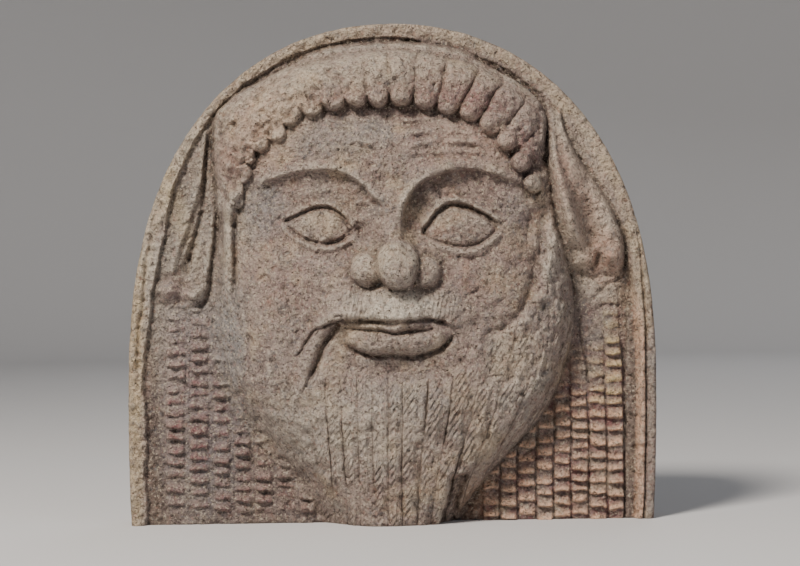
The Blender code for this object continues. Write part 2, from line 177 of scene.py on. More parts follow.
plaque = dict(
    halfWidth=111.0, top=209.6, springing=50.0, fullness=2.6, roundness=2.1, footTuck=1.2,
    lean=0.85,                      # degrees, the foot was cut slightly out of square
    field=21.5, rim=26.0,
    # round from the left foot over the top to the right foot: share of the way, width of the flat band,
    # drop of the step inside it and width of that step
    rimRound=(
        (0.00, 6.0, 3.0, 1.0), (0.025, 6.2, 3.0, 1.0), (0.05, 7.0, 3.0, 1.0), (0.063, 5.8, 3.0, 1.0),
        (0.079, 6.9, 3.0, 1.0), (0.094, 7.2, 3.0, 1.0), (0.108, 6.2, 3.0, 1.0), (0.123, 6.3, 3.0, 1.0),
        (0.15, 7.0, 3.0, 1.0), (0.21, 8.2, 3.0, 0.9), (0.24, 7.8, 2.8, 0.9), (0.262, 6.0, 3.0, 0.9),
        (0.28, 4.9, 3.0, 0.9), (0.31, 4.2, 2.6, 1.0), (0.33, 3.9, 2.2, 1.0), (0.375, 4.0, 2.2, 1.0),
        (0.39, 4.4, 2.0, 1.0), (0.41, 4.7, 1.8, 0.8), (0.46, 5.0, 1.6, 0.7), (0.51, 5.7, 1.4, 0.7),
        (0.55, 6.9, 1.3, 0.7), (0.61, 7.1, 1.1, 0.8), (0.634, 5.8, 1.2, 1.4), (0.656, 5.4, 1.8, 4.5),
        (0.70, 4.4, 2.4, 6.5), (0.742, 3.2, 2.6, 5.5), (0.77, 3.6, 3.6, 4.5), (0.80, 6.0, 4.8, 2.4),
        (1.00, 6.3, 5.4, 2.0)),
    # grooves along the rim: share of the way, distance from the edge, depth
    leftGroove=((0.10, 3.4, 0.0), (0.14, 3.8, 0.9), (0.17, 4.4, 1.4), (0.21, 3.2, 1.5), (0.25, 2.6, 1.1),
                (0.26, 2.4, 0.0)),
    rightGroove=((0.75, 1.0, 0.0), (0.765, 1.3, 1.0), (0.80, 3.2, 1.5), (0.86, 4.1, 2.2),
                 (1.0, 4.1, 2.2)),
    grooves=(("leftGroove", 0.5, 0.75), ("rightGroove", 0.1, 0.5)),     # how far each wanders, its width
    arris=(1.3, 1.6), dented=(1.4, 2.6),        # wear of the outer edge: depth, and how far in it reaches
    rough=((0.5, 3.4), (0.4, 1.7)),             # roughness of the rim's left half: depth and size
)


def archHalfWidth(q):
    # straight sides that tuck in at the foot, then half * (1 - t^fullness)^(1 / roundness)
    t = np.clip((q - plaque["springing"]) / (plaque["top"] - plaque["springing"]), 0, 1)
    low = np.clip(1 - q / plaque["springing"], 0, 1)
    arch = (1 - t ** plaque["fullness"]) ** (1 / plaque["roundness"])
    return plaque["halfWidth"] * arch - plaque["footTuck"] * low ** 2


def archLine(foot, spans=320):
    # left foot, up and over the top, right foot
    share = np.sin(np.linspace(0, np.pi / 2, spans // 2 + 1))
    q = plaque["springing"] + (plaque["top"] - plaque["springing"]) * share
    q = np.concatenate([np.linspace(foot, plaque["springing"], 12)[:-1], q])
    half = archHalfWidth(q)
    return np.vstack([np.column_stack([-half, q]), np.column_stack([half, q])[-2::-1]])


def plaqueSurface(p, q):
    # the rim's level, less its step, drop * smoothStep across the step's width, less the grooves along it,
    # depth * e^(-((edge - place) / width)^2); the outer arris is worn away and dented
    _, distance, side, along = besideCurve(p, q, archLine(-12.0), 400)
    edge = np.where(side < 0, distance, 0)
    share, band, drop, slope = np.array(plaque["rimRound"]).T
    uneven = 1 + 1.2 * smoothStep(0.3, 0.1, along)
    band = np.interp(along, share, band) + uneven * (0.3 * noise(p, q, 9, 3) + 0.2 * noise(p, q, 2.5, 4))
    drop, slope = np.interp(along, share, drop), np.interp(along, share, slope)
    height = plaque["rim"] - drop * smoothStep(band - 0.2, band + slope, edge)
    for key, wobble, width in plaque["grooves"]:
        share, place, depth = np.array(plaque[key]).T
        place = np.interp(along, share, place, -9, None) + wobble * noise(p, q, 8, 8)
        depth = np.interp(along, share, depth, 0, None)
        height -= depth * np.exp(-((edge - place) / width) ** 2)
    dents = np.clip(noise(p, q, 6, 11) + 0.5 * noise(p, q, 2.6, 12) - 0.6, 0, 1)
    (wear, wearIn), (dent, dentIn) = plaque["arris"], plaque["dented"]
    height -= wear * np.clip(1 - edge / wearIn, 0, 1) ** 2 + dent * dents * np.clip(1 - edge / dentIn, 0, 1)
    foot = q - p * tan(radians(plaque["lean"]))
    # the foot's lower edge is softened, and ragged on the left
    ragged = np.clip(0.9 + 0.9 * noise(p, q, 7, 14) + 0.6 * noise(p, q, 2.4, 15), 0.2, 2.4)
    ragged = ragged * smoothStep(10, -10, p)
    height -= (0.4 + 0.5 * ragged) * np.clip(1 - foot / (1.2 + 1.2 * ragged), 0, 1) ** 1.6
    # the left half of the rim is rougher
    (broad, broadSize), (fine, fineSize) = plaque["rough"]
    rough = broad * noise(p, q, broadSize, 16) + fine * noise(p, q, fineSize, 17)
    height += rough * smoothStep(band + slope, band - 1, edge) * smoothStep(0.62, 0.4, along)
    return height, edge, along


# head

head = dict(
    rise=29.0, cheekLevel=105.0, crownLevel=203.0, top=(0, 200),
    leftFlank=20.0, rightFlank=11.5, flankTop=122.0,    # width of the let-down flanks, and how high they go
    footFall=0.38, fallFrom=64.0,   # share of its depth that the head loses at the foot, from that level down
    leftArc=(2.2, 1.75), rightArc=(2.6, 2.6), crownArc=(2.4, 0.5), flankPower=(1.0, 0.42),      # powers
    # level, viewer's left edge, viewer's right edge
    levels=((-30, -14, 12), (0, -29.5, 26), (22, -46.5, 42.5), (45, -66, 63), (70, -75.5, 74),
            (95, -76, 76.4), (125, -73.2, 70.4), (155, -74.7, 65.2), (172, -73, 64), (183, -60, 55),
            (194.5, -38, 35)),
)


def headSurface(p, q):
    # depth inside the outline, and a swell: across, (1 - s^a)^(1/b), steeper on the right; up, a fall to
    # the crown
    left = [(low, level) for level, low, _ in head["levels"]]
    right = [(high, level) for level, _, high in head["levels"]]
    outline = curveThrough(left + [head["top"]] + right[::-1], 6, closed=True)
    near, distance, side, _ = besideCurve(p, q, outline, 5, closed=True)
    depth = np.full(p.shape, -9.0)
    depth[near] = np.where(side < 0, distance, -distance)
    leftLine, rightLine = curveThrough(left), curveThrough(right)
    low = np.interp(q, leftLine[:, 1], leftLine[:, 0])
    high = np.interp(q, rightLine[:, 1], rightLine[:, 0])
    s = (2 * p - low - high) / (high - low)
    leftArc = (1 - np.clip(-s, 0, 1) ** head["leftArc"][0]) ** (1 / head["leftArc"][1])
    rightArc = (1 - np.clip(s, 0, 1) ** head["rightArc"][0]) ** (1 / head["rightArc"][1])
    t = np.clip((q - head["cheekLevel"]) / (head["crownLevel"] - head["cheekLevel"]), 0, 1)
    # round the beard's flanks are let down to the slab: a soft quarter circle over the flank's width
    flank = np.clip(depth / np.where(s < 0, head["leftFlank"], head["rightFlank"]), 0, 1)
    flank = (1 - (1 - flank) ** 2) ** np.where(s < 0, *head["flankPower"])
    flank = 1 - (1 - flank) * smoothStep(head["flankTop"], head["flankTop"] - 24, q)
    back = head["footFall"] * np.clip(1 - q / head["fallFrom"], 0, 1) ** 1.6
    crown, power = head["crownArc"]
    return depth, flank * (1 - back) * np.where(s < 0, leftArc, rightArc) * (1 - t ** crown) ** power


brows = dict(
    # centre, radii, rise, turn: swells of the forehead
    swells=(((0, 156), (50, 14), 2.2, 0), ((0, 171), (52, 12), -2.0, 0)),
    # crest of each brow, how much it stands up, its width; the surface drops away beneath it to the socket:
    # how deep, over what reach, between these places across; then the roll above it: its shift and rise
    crests=(
        (((-57, 139.6), (-52.6, 142.4), (-47, 144.6), (-42, 146), (-36.6, 147), (-31.3, 147.4),
         (-25.6, 147.4), (-20.4, 146.2), (-13.6, 142.4), (-7.4, 136), (-3.4, 131.4)),
         (1.2, 1.6, 2.0, 2.2, 2.8, 3.0), (2.2, 2.8, 2.8), 2.8, 3.6, (-60, -47, -1, -9), (0.8, 2.0, 0.9)),
        (((3.2, 125.6), (4.0, 131), (7.0, 137), (11, 141.8), (16.6, 144.8), (23.4, 147), (30.2, 147.8),
         (37, 147), (44, 144.8), (51.5, 142.6), (57, 140.6)), (2.0, 2.8, 2.8, 2.4, 1.8, 1.0),
         (2.0, 2.6, 2.4), 2.4, 2.0, (2.4, 6, 55, 28), (-1.2, 2.6, 2.2)),
        (((3.2, 125.6), (4.0, 131), (7.0, 137), (11, 141.8), (16.6, 144.8)), 0.5, 2.0, 2.2, 2.0,
         (2.4, 5, 20, 10), (0, 0, 0)),
    ),
    fade=(106, 130),                # levels between which the drop beneath a crest comes in
    # width of the roll; widths of a furrow and of the ridge above it, and how far above
    roll=2.4, furrow=(1.3, 1.6, 2.2),
    nicks=((-6.4, 133, 1.8, 1.6), (-5.0, 136.2, 1.1, 0.7)),
    # fine furrows of the forehead, each with its depth
    furrows=(
        (((2, 152.5), (15, 156), (31, 156.8), (46, 154.0)), 0.85),
        (((-2, 147), (6, 151.5), (18, 152.6), (33, 152.6), (48, 149.8)), 0.6),
        (((-1, 157), (10, 160.5), (24, 161.5), (38, 159.4)), 0.8),
        (((-3, 163), (8, 166), (22, 166.6)), 0.6),
        (((-38, 156), (-22, 158.2), (-8, 154.8), (-3, 152)), 0.5),
        (((-34, 152.6), (-20, 154), (-9, 151.4)), 0.4),
        (((-30, 161.5), (-16, 162.5), (-5, 159.5)), 0.4),
        (((-6, 150), (-4, 144), (-3.4, 138)), 0.45),
        (((2.4, 148), (1.0, 142), (0.8, 137)), 0.3),
    ),
)


def carveBrows(face, p, q):
    addMounds(face, p, q, brows["swells"])
    # below a crest: drop * (1 - e^(-distance / reach)), faded across and down the cheek
    for points, rise, width, drop, reach, (start, full, end, less), (shiftP, shiftQ, roll) in brows["crests"]:
        near, distance, side, _ = besideCurve(p, q, curveThrough(points), 52)
        near, distance = near[side < 0], distance[side < 0]
        away = smoothStep(start, full, p[near]) * smoothStep(end, less, p[near])
        away *= smoothStep(*brows["fade"], q[near]) * smoothStep(52, 30, distance)
        face[near] -= drop * (1 - np.exp(-distance / reach)) * away
        ridge(face, p, q, points, rise, width, ends=(0.12, 0.06), lopsided=0.3)
        ridge(face, p, q, [(x + shiftP, y + shiftQ) for x, y in points], roll, brows["roll"])
    # each furrow is a fine groove with a low ridge above it
    furrowed = np.zeros_like(face)
    furrowWidth, ridgeWidth, up = brows["furrow"]
    for points, depth in brows["furrows"]:
        ridge(furrowed, p, q, points, -depth, furrowWidth, ends=(0.25, 0.25))
        ridge(furrowed, p, q, [(x, y + up) for x, y in points], depth, ridgeWidth, ends=(0.25, 0.25))
    face += furrowed * np.clip(0.85 + 0.9 * noise(p, q, 6, 74), 0.1, 1.6)
    for x, y, radius, depth in brows["nicks"]:
        pit(face, p, q, (x, y), radius, depth)


eyes = dict(
    sockets=(((-30, 123), (23, 17), -1.6, -6), ((29, 122), (25, 18), -1.6, 2)),
    # rim of each ball, from its outer or inner corner over the top, and round; how deep its plane lies
    # and how far it bulges
    balls=(
        (((-44.5, 125.6), (-40.5, 127.6), (-36, 129.6), (-32, 131.2), (-28.3, 131.6), (-25, 130.8),
         (-21.5, 128.6), (-18.6, 125.8), (-17.2, 123.2), (-17.2, 120), (-19.8, 118.7), (-23, 117.2),
         (-26.5, 116.2), (-30, 116.3), (-33.4, 117.2), (-36.4, 118.3), (-39.4, 120), (-42, 122.2),
         (-43.8, 124)), -0.9, 5.6, 1.8),
        (((13.0, 120.4), (13.6, 122.7), (16, 126), (18.3, 129.2), (21, 131.3), (23.8, 132.4), (27, 132.6),
         (30.2, 131.8), (33.6, 130.4), (37, 128.8), (40.4, 126.6), (43.4, 123.6), (41.8, 120.6),
         (39, 118.1), (35.6, 116.2), (31.5, 114.9), (27.9, 114.9), (24.2, 115.6), (20.5, 116.3),
         (17.3, 117.5), (14.6, 118.7)), -1.0, 6.4, 1.8),
    ),
    lines=(
        # left: edge of the upper lid, the cut under it, a second fine line, inner corner, lower lid and
        # its crease
        (((-45.5, 126.4), (-41, 129), (-36.4, 131.2), (-32, 132.9), (-28.2, 133.4), (-24.2, 132.4),
         (-20.2, 129.6), (-17, 126), (-15.6, 121.5)), (1.1, 1.6, 1.9, 1.6), 1.4, (0.1, 0.15)),
        (((-44.6, 125.9), (-40.5, 127.9), (-36, 129.9), (-32, 131.5), (-28.3, 131.9), (-25, 131.1),
         (-21.5, 128.9), (-18.4, 126), (-17, 122)), (-2.0, -1.8, -1.7, -1.2), (0.56, 0.5, 0.45),
         (0.02, 0.15)),
        (((-42.4, 124.2), (-37.6, 126.6), (-33.6, 128.2), (-30.6, 129.2)), -0.7, 0.45, (0.15, 0.3)),
        (((-17, 120.4), (-17.2, 123.2)), -1.3, 0.8, (0.1, 0.2)),
        (((-45.6, 126.2), (-43.6, 122), (-39.8, 118.6), (-34.4, 115.8), (-28.4, 114.5), (-22.8, 115.6),
         (-17.4, 118), (-12.4, 119.4)), (1.3, 1.9, 2.0, 1.8, 1.3), (1.0, 1.5, 1.3), (0.08, 0.12)),
        (((-35, 114), (-29, 112.4), (-22.4, 113.6), (-17, 116.2), (-13.4, 117.9)), -0.45, 0.55,
         (0.35, 0.1)),
        (((-30, 117.4), (-24, 117.1), (-18.4, 119.4)), (-1.0, -1.6, -1.4), 1.2, (0.35, 0.1)),
        # right: the same
        (((12.6, 122.4), (15.4, 127.2), (18.4, 131.2), (22, 134), (26.6, 134.8), (31, 133.6),
         (36.8, 130.6), (42, 128), (45, 124.2)), (1.6, 2.4, 2.5, 2.2, 1.5), (1.5, 1.4, 1.2), (0.1, 0.1)),
        (((12.9, 119.6), (13.4, 122.6), (16, 126.4), (18.4, 129.7), (21.2, 131.9), (24.6, 132.9),
         (28.2, 132.6), (32.6, 131.2), (36.8, 129.3), (40.6, 127), (43.8, 123.8)),
         (-2.8, -2.4, -1.9, -1.6, -1.3), (0.9, 0.7, 0.5, 0.45), (0.03, 0.05)),
        (((19.4, 126.6), (22.2, 129.4), (26, 131)), -0.5, 0.45, (0.2, 0.4)),
        (((13.6, 118.4), (17.6, 116.3), (22.2, 114.7), (26.6, 113.5), (31, 113.1), (35.6, 114.3),
         (39.4, 117), (43.2, 120.2), (44.8, 124)), (1.3, 2.0, 2.5, 2.6, 2.0), (1.2, 1.6, 1.7, 1.3),
         (0.08, 0.06)),
        (((23, 112), (28.4, 110.4), (34, 110.4), (39.6, 112.6), (43.4, 116.2)), (-0.3, -0.5, -0.4), 0.8,
         (0.35, 0.3)),
        (((40, 128.6), (44.4, 126)), 0.8, 0.6, (0.3, 0.3)),
    ),
    # a nick at the inner corner of the left eye
    nicks=((-13.0, 122.2, 2.6, 1.8),),
    # centre, radii and turn of each ball's swell
    swells=(((-30.8, 124.2), (14.2, 8.2), -9), ((28.6, 124.2), (14.8, 9.4), 2)),
    tired=((29, 124), (8, 4.5), 0.25),      # worn patch of the right ball: centre, radii, roughness
)


def carveEyes(face, p, q):
    # sockets; then each ball swells inside its own rim by bulge * (1 - 0.85 r squared), eased in from the rim
    addMounds(face, p, q, eyes["sockets"])
    for (points, sunk, bulge, reach), (centre, radii, turn) in zip(eyes["balls"], eyes["swells"]):
        near, distance, side, _ = besideCurve(p, q, curveThrough(points, 5, closed=True), 2, closed=True)
        inside, within = near[side < 0], distance[side < 0]
        dome = np.clip(1 - 0.85 * inOval(p[inside], q[inside], centre, radii, turn), 0, 1)
        face[inside] += sunk * smoothStep(0, 0.9, within) + bulge * dome * smoothStep(0, reach, within)
    centre, radii, rough = eyes["tired"]
    face += rough * np.clip(1 - inOval(p, q, centre, radii), 0, 1) * noise(p, q, 1.3, 73)
    addLines(face, p, q, eyes)


nose = dict(
    bridge=((-3.0, 143), (-1.4, 136), (-0.2, 129), (0.4, 122), (1.0, 115)),
    bridgeRise=(1.6, 2.8, 4.0, 5.0, 5.4), bridgeWidth=(6.0, 5.2, 5.2, 6.5),
    # centre, radii, how far each starts under the surface, rise, softness, turn, how full: wings, tip
    eggs=(((-10.0, 106.2), (7.6, 7.6), 3.0, 12.4, 4.6, 10, 1.0),
          ((13.8, 105.2), (6.9, 7.4), 3.0, 10.4, 2.0, 0, 1.0),
          ((2.2, 108.4), (9.8, 11.0), 3.0, 18.4, 3.4, 6, 1.5)),
    root=((1.6, 108), (20, 20), 3.6), septum=((3.0, 103), (9.0, 6.0), 1.4, 0, 1.2),
    nostrils=(((-7.6, 99.8), (6.0, 2.6), -2.0, 0, 1), ((12.5, 97.4), (6.0, 3.0), -1.6, 0, 1)),
)


def carveNose(face, p, q):
    # a narrow bridge on a broad root, a septum, three eggs, and nostrils cut under the wings
    base = face.copy()
    ridge(face, p, q, nose["bridge"], nose["bridgeRise"], nose["bridgeWidth"], ends=(0.25, 0.0))
    addMounds(face, p, q, (nose["root"], nose["septum"]))
    for centre, radii, under, rise, soft, turn, full in nose["eggs"]:
        ball(face, p, q, centre, radii, base - under, rise, soft, turn, full)
    addMounds(face, p, q, nose["nostrils"])


mouth = dict(
    # centre, radii, rise, turn, edge: muzzle, moustache, its left wing, chin, the hollow of the lips
    mounds=(((0, 90), (38, 24), 4.6, 0, 2.0), ((1, 93), (31, 9), 1.2, 0, 0.9),
            ((-20, 86), (14, 8), 1.0, 20, 1.5), ((1, 62.5), (42, 13), -3.0, 0, 2.0),
            ((2, 46), (38, 20), 2.0, 0, 2.0)),
    # lower edge of the moustache: across and up; how thick it is there, and how it thins upwards
    plate=((-30, 82), (-25.5, 84.6), (-20, 85.9), (-12, 86.1), (-5, 85.7), (1, 85.4), (8, 86), (15, 86.3),
           (20.6, 85.5), (27, 82)),
    thick=2.7, thins=7.5,
    lines=(
        # left tail of the moustache, its outer line, the deep line inside it
        (((-14, 88.5), (-24, 85.2), (-30, 80.6), (-33.4, 74), (-36, 66), (-38.6, 57)),
         (1.2, 1.8, 2.0, 1.8, 1.0), (3.4, 3.2, 2.8, 2.0), (0.05, 0.25), 1.0, 2.6),
        (((-19, 86.2), (-23, 84.6), (-27, 83.2), (-31.6, 81.3), (-34.6, 77.2), (-37.4, 72.6), (-41, 69)),
         (-1.6, -2.2, -2.4, -2.0, -1.2), (0.5, 0.65, 0.5), (0.1, 0.15)),
        (((-21.4, 84.6), (-24.6, 80.2), (-28, 74.6), (-31, 67.4), (-34.6, 59.6), (-38.6, 52.6)),
         (-3.4, -3.6, -2.8, -1.8, -1.0), (1.5, 1.5, 1.1, 0.7), (0.03, 0.15)),
        # lower edge of the moustache, left and right of the middle
        (((-21, 84.6), (-15, 84.9), (-9, 85.1), (-3.4, 84.9)), (-1.4, -1.3, -0.8), 0.8, (0.05, 0.3)),
        (((-14, 84.4), (-6, 84.8), (1, 84.4)), -0.5, 0.4, (0.3, 0.3)),
        (((3.6, 84.8), (9, 85.2), (15, 85.5), (20, 84.6), (23.6, 82.4)), (-0.6, -1.0, -1.4, -1.4),
         (0.7, 0.9, 0.9), (0.2, 0.15)),
        # upper lip and the line between the lips
        (((-19.4, 83.4), (-11, 82.9), (-4, 82.7), (0.6, 81.8), (5, 83.2), (11, 84.2), (17.6, 84.6)),
         (0.5, 1.2, 1.6, 1.2, 0.5), 1.2, (0.1, 0.1)),
        (((-21, 82.6), (-14, 81.6), (-8, 81.2), (-3, 80.7), (0.6, 79.7), (2.2, 79.8), (6.6, 80.4),
         (12.6, 81), (18.6, 82)), (-0.9, -1.6, -1.8, -2.6, -2.6, -1.6), (0.55, 0.6, 0.75, 0.7),
         (0.05, 0.1)),
        (((4, 80.9), (8, 81.4), (13, 82.2)), -0.8, 0.8, (0.3, 0.3)),
        # lower lip: two soft rolls, the cut beneath, the parting in the middle
        (((-20, 79.6), (-13, 76.8), (-6, 75.8), (0.4, 75.7), (8, 75.6), (15, 76.8), (22.6, 79.6)),
         (1.4, 2.6, 2.9, 2.8, 2.9, 2.8, 1.8), (3.0, 3.8, 4.0, 3.8, 3.0), (0.1, 0.08), 1.0, 2.6),
        (((-22, 78.6), (-18.6, 74.9), (-12.6, 71.9), (-6, 70.5), (0.6, 70.9), (6.6, 70.1), (12.4, 70.9),
         (18.6, 73), (22.6, 76), (25.4, 80)), (-1.2, -2.6, -3.2, -3.0, -3.4, -3.4, -2.6),
         (0.9, 1.1, 1.1, 1.0), (0.12, 0.06)),
        (((0.3, 78.4), (0.2, 75), (0.4, 71.2)), -1.0, 0.8, (0.2, 0.2)),
        (((-24, 86.8), (-21.6, 87.2), (-19.4, 87)), -1.2, 0.5, (0.2, 0.2)),
    ),
    nicks=((-13, 77, 0.7, 0.6), (-10.2, 77.4, 0.8, 0.6), (2.6, 76, 0.7, 0.6)),
)


def carveMouth(face, p, q):
    addMounds(face, p, q, mouth["mounds"])
    # the moustache: a plate with a steep lower edge, thick * e^(-(height above it / thins)^2)
    across, level = np.array(mouth["plate"]).T
    above = q - np.interp(p, across, level) + 0.3 * noise(p, q, 2.4, 75)
    plate = smoothStep(-0.6, 0.5, above) * np.exp(-(above / mouth["thins"]) ** 2)
    face += mouth["thick"] * plate * smoothStep(-35, -25, p) * smoothStep(30, 18, p)
    addLines(face, p, q, mouth)
    # how far the moustache is combed, for the clay's fine lines
    plate = np.clip(1 - inOval(p, q, (-4, 91), (38, 8.5)), 0, 1) ** 0.8 * smoothStep(6, 20, np.abs(p - 1))
    return plate * np.clip(0.8 + 0.6 * noise(p, q, 6, 72), 0, 1)


cheeks = dict(
    mounds=(((-33, 100), (30, 24), 2.6), ((37, 98), (28, 26), 2.6), ((57, 114), (11, 34), -2.2)),
    broad=(0.6, 15), fine=(0.5, 5),     # uneven modelling all over: height and size
)


def carveCheeks(face, p, q):
    addMounds(face, p, q, cheeks["mounds"])
    (broad, broadSize), (fine, fineSize) = cheeks["broad"], cheeks["fine"]
    face += broad * noise(p, q, broadSize, 81) + fine * noise(p, q, fineSize, 82)


beard = dict(
    # the strands fan out from the foot: level, spread left of the parting, spread right of it
    fan=((0, 0.97, 0.93), (20, 1.0, 1.14), (45, 1.06, 1.52), (70, 1.1, 1.8), (100, 1.12, 2.05)),
    parting=4.2, leftStrand=5.85, rightStrand=6.2,      # where they part, width of a strand on either side
    chip=(20.2, 26.2, 21.4, 5.0),       # gap low on the right: from and to across, its top, its depth
    groove=(0.6, 0.5), swell=0.25, crease=(0.4, 0.56, 0.5),     # depth and width; rise; rise, place and width
    sideRough=((0.7, 4, 65), (0.4, 2, 66)),     # side beard: height, size and seed of its two roughnesses
    scratch=1.2, waves=(0.6, 2.7), folds=(0.55, 5.2),   # depth; depth and pitch; depth and pitch
    # centre, radii, rise, turn: hollow at the beard's left edge
    mounds=(((-62, 84), (12, 30), -1.2, 12),),
    nicks=(),
    lines=(
        # border of the cheek on the right, the roll of beard beside it, the line inside its outer edge
        (((61.5, 142), (62.6, 130), (61.6, 116), (58.6, 102), (54, 91), (47.6, 83.4), (40, 79.4),
         (31, 76)), (-0.6, -1.2, -1.6, -2.4, -2.2, -0.8), (1.6, 2.0, 2.2), (0.12, 0.25)),
        (((64, 140), (66.4, 123), (65.6, 106), (59.5, 92), (50.5, 80.5), (40, 74), (32, 71)),
         (1.8, 2.6, 2.2, 1.8, 1.2, 0.5), (3.0, 4.0, 4.6), (0.06, 0.35)),
        (((72.2, 96), (71.6, 84), (69.6, 70), (65, 58), (58.6, 46), (52, 37.4), (45, 29), (38.4, 21),
         (33, 15.5)), (-0.8, -1.4, -1.6, -1.6, -1.2), (0.7, 0.9, 0.8), (0.2, 0.12)),
        # the long strand at the left temple and the groove behind it
        (((-64.6, 140), (-66.6, 134), (-68.6, 127), (-68.6, 120), (-68.6, 112), (-69.0, 104), (-69.6, 94),
         (-69.4, 84)), (2.8, 3.6, 3.8, 3.4, 2.8, 1.6), (2.2, 2.3, 2.2), (0.06, 0.25), 1.0, 2.8),
        (((-62.4, 133), (-65.4, 127), (-65.6, 116), (-65.6, 104), (-66.6, 90)), (-1.0, -1.8, -1.8, -1.2),
         0.9, (0.12, 0.3)),
        (((-69.6, 142), (-71.4, 136), (-71.6, 126), (-71, 116), (-70.4, 106)), (-1.2, -1.4, -1.0), 0.9,
         (0.15, 0.35)),
        # border of the left cheek
        (((-63, 92), (-57, 86.6), (-52.6, 84), (-44, 79.4), (-40, 76)), 0.7, 2.6, (0.3, 0.3)),
        # small cracks
        (((37.6, 61), (42, 62.6), (46.6, 62.4)), -0.7, 0.5, (0.3, 0.3)),
        (((52, 77.6), (55.6, 78.6), (59, 76.4)), -0.5, 0.45, (0.3, 0.3)),
        (((41.6, 80.4), (44.6, 82), (47.6, 80)), -0.5, 0.45, (0.3, 0.3)),
        (((24, 84), (26.6, 79), (29.4, 73), (33, 68.6)), -0.35, 0.5, (0.3, 0.3)),
    ),
)


def combBeard(face, p, q, depth):
    # strands: grooves at whole numbers of a coordinate that fans out with height,
    # (p - parting) / (width * spread), each depth * e^(-(distance / width)^2);
    # the left half of each strand is cut slantwise, like an ear of wheat, the right half is plain
    addMounds(face, p, q, beard["mounds"])
    addLines(face, p, q, beard)
    level, left, right = np.array(beard["fan"]).T
    x = p - beard["parting"]
    spread = np.where(x < 0, np.interp(q, level, left) * beard["leftStrand"],
                      np.interp(q, level, right) * beard["rightStrand"])
    place = x / spread + 0.05 * noise(p, q * 0.25, 9, 22) + 0.03 * noise(p, q, 2.6, 29)
    number = np.floor(place)
    across = place - number
    near = np.minimum(across, 1 - across) * spread
    # where it is combed: up to a wavy top, weaker toward the left and the right flank
    top = 65 + 26 * smoothStep(20, 58, p) + 6 * smoothStep(-24, -38, p) + 2.5 * noise(p, q, 7, 25)
    combed = smoothStep(top, top - 9, q) * smoothStep(0.4, 2.5, depth)
    combed *= 0.15 + 0.85 * smoothStep(-40, -22, p + 4 * noise(p, q, 12, 21))
    combed *= np.clip(0.85 + 0.5 * noise(p, q, 9, 26), 0.3, 1.25)
    streaked = combed * (0.35 + 0.65 * smoothStep(8, 30, p))
    combed *= 1 - 0.5 * smoothStep(22, 42, p) * smoothStep(26, 44, q)
    weight = 0.85 + 0.25 * np.sin(number * 2.4 + 0.6)
    broken = np.clip(0.95 + 0.4 * noise(p, q * 0.3, 9, 31), 0.55, 1.2)
    grooveDepth, grooveWidth = beard["groove"]
    creaseRise, creaseAt, creaseWidth = beard["crease"]
    face -= combed * weight * broken * grooveDepth * np.exp(-(near / grooveWidth) ** 2)
    face += combed * beard["swell"] * smoothStep(0, 0.35, across) * smoothStep(1.0, 0.75, across)
    face += combed * creaseRise * np.exp(-((across - creaseAt) * spread / creaseWidth) ** 2)
    # where the clay is scored slantwise between the grooves
    hatched = smoothStep(0.05, 0.14, across) * smoothStep(0.6, 0.48, across)
    hatched = np.maximum(0.85 * hatched, 0.35 * smoothStep(16, 30, p)) * combed
    hatched = hatched * np.clip(0.8 + 0.7 * noise(p, q, 5, 24), 0.1, 1.3)
    # side beard: wavy hairs along it, sin(2 pi depth / pitch) with the depth shifted by noise;
    # the left side only keeps a few soft folds
    sideBeard = smoothStep(22, 36, p) * smoothStep(1.0, 4.0, depth) * smoothStep(20, 12, depth)
    sideBeard *= smoothStep(136, 118, q) * smoothStep(34, 56, q)
    (broad, broadSize, broadSeed), (fine, fineSize, fineSeed) = beard["sideRough"]
    rough = broad * noise(p, 0.5 * q, broadSize, broadSeed)
    rough = rough + fine * noise(p, q, fineSize, fineSeed)
    face += sideBeard * rough
    # long scratches between the strands on the right, noise stretched along them
    streaked = np.clip(streaked + 0.7 * sideBeard, 0, 1)
    face -= beard["scratch"] * streaked * np.clip(noise(6.0 * place, 0.2 * q, 1.9, 44), 0, 1)
    waveDepth, wavePitch = beard["waves"]
    wavy = np.sin(2 * np.pi * (depth + 0.8 * noise(p, q, 7, 27) + 0.3 * np.sin(q / 3.1)) / wavePitch)
    face -= sideBeard * waveDepth * np.clip(wavy, 0, 1) * np.clip(0.5 + 0.9 * noise(p, q, 3.5, 28), 0, 1)
    folds = smoothStep(-74, -66, p) * smoothStep(-34, -42, p) * smoothStep(102, 88, q) * smoothStep(24, 44, q)
    folds *= np.clip(0.6 + 0.8 * noise(p, 0.4 * q, 7, 32), 0, 1)
    foldDepth, foldPitch = beard["folds"]
    x = p + 0.05 * (q - 70) + 0.9 * noise(p, q, 9, 39)
    face += folds * foldDepth * np.sin(2 * np.pi * x / foldPitch)
    face += 0.45 * smoothStep(-20, -40, p) * smoothStep(90, 70, q) * noise(p, q, 3.2, 30)
    # the chip: a slanting gap between two strands at the foot
    left, right, chipTop, sunk = beard["chip"]
    uneven = 0.7 * noise(p, q, 3.0, 37)
    across = p - 0.21 * q + uneven
    gone = smoothStep(left - 0.5, left + 0.7, across) * smoothStep(right + 1.0, right - 0.8, across)
    gone *= smoothStep(chipTop + 1.5, chipTop - 2.0, q + 2 * uneven)
    face -= gone * (sunk + 0.6 * noise(p, 0.3 * q, 2.0, 38))
    # the strands' count is kept above zero for the clay
    return dict(scored=hatched, strand=place + 60, parted=0.8 * combed * weight * broken, streaked=streaked)


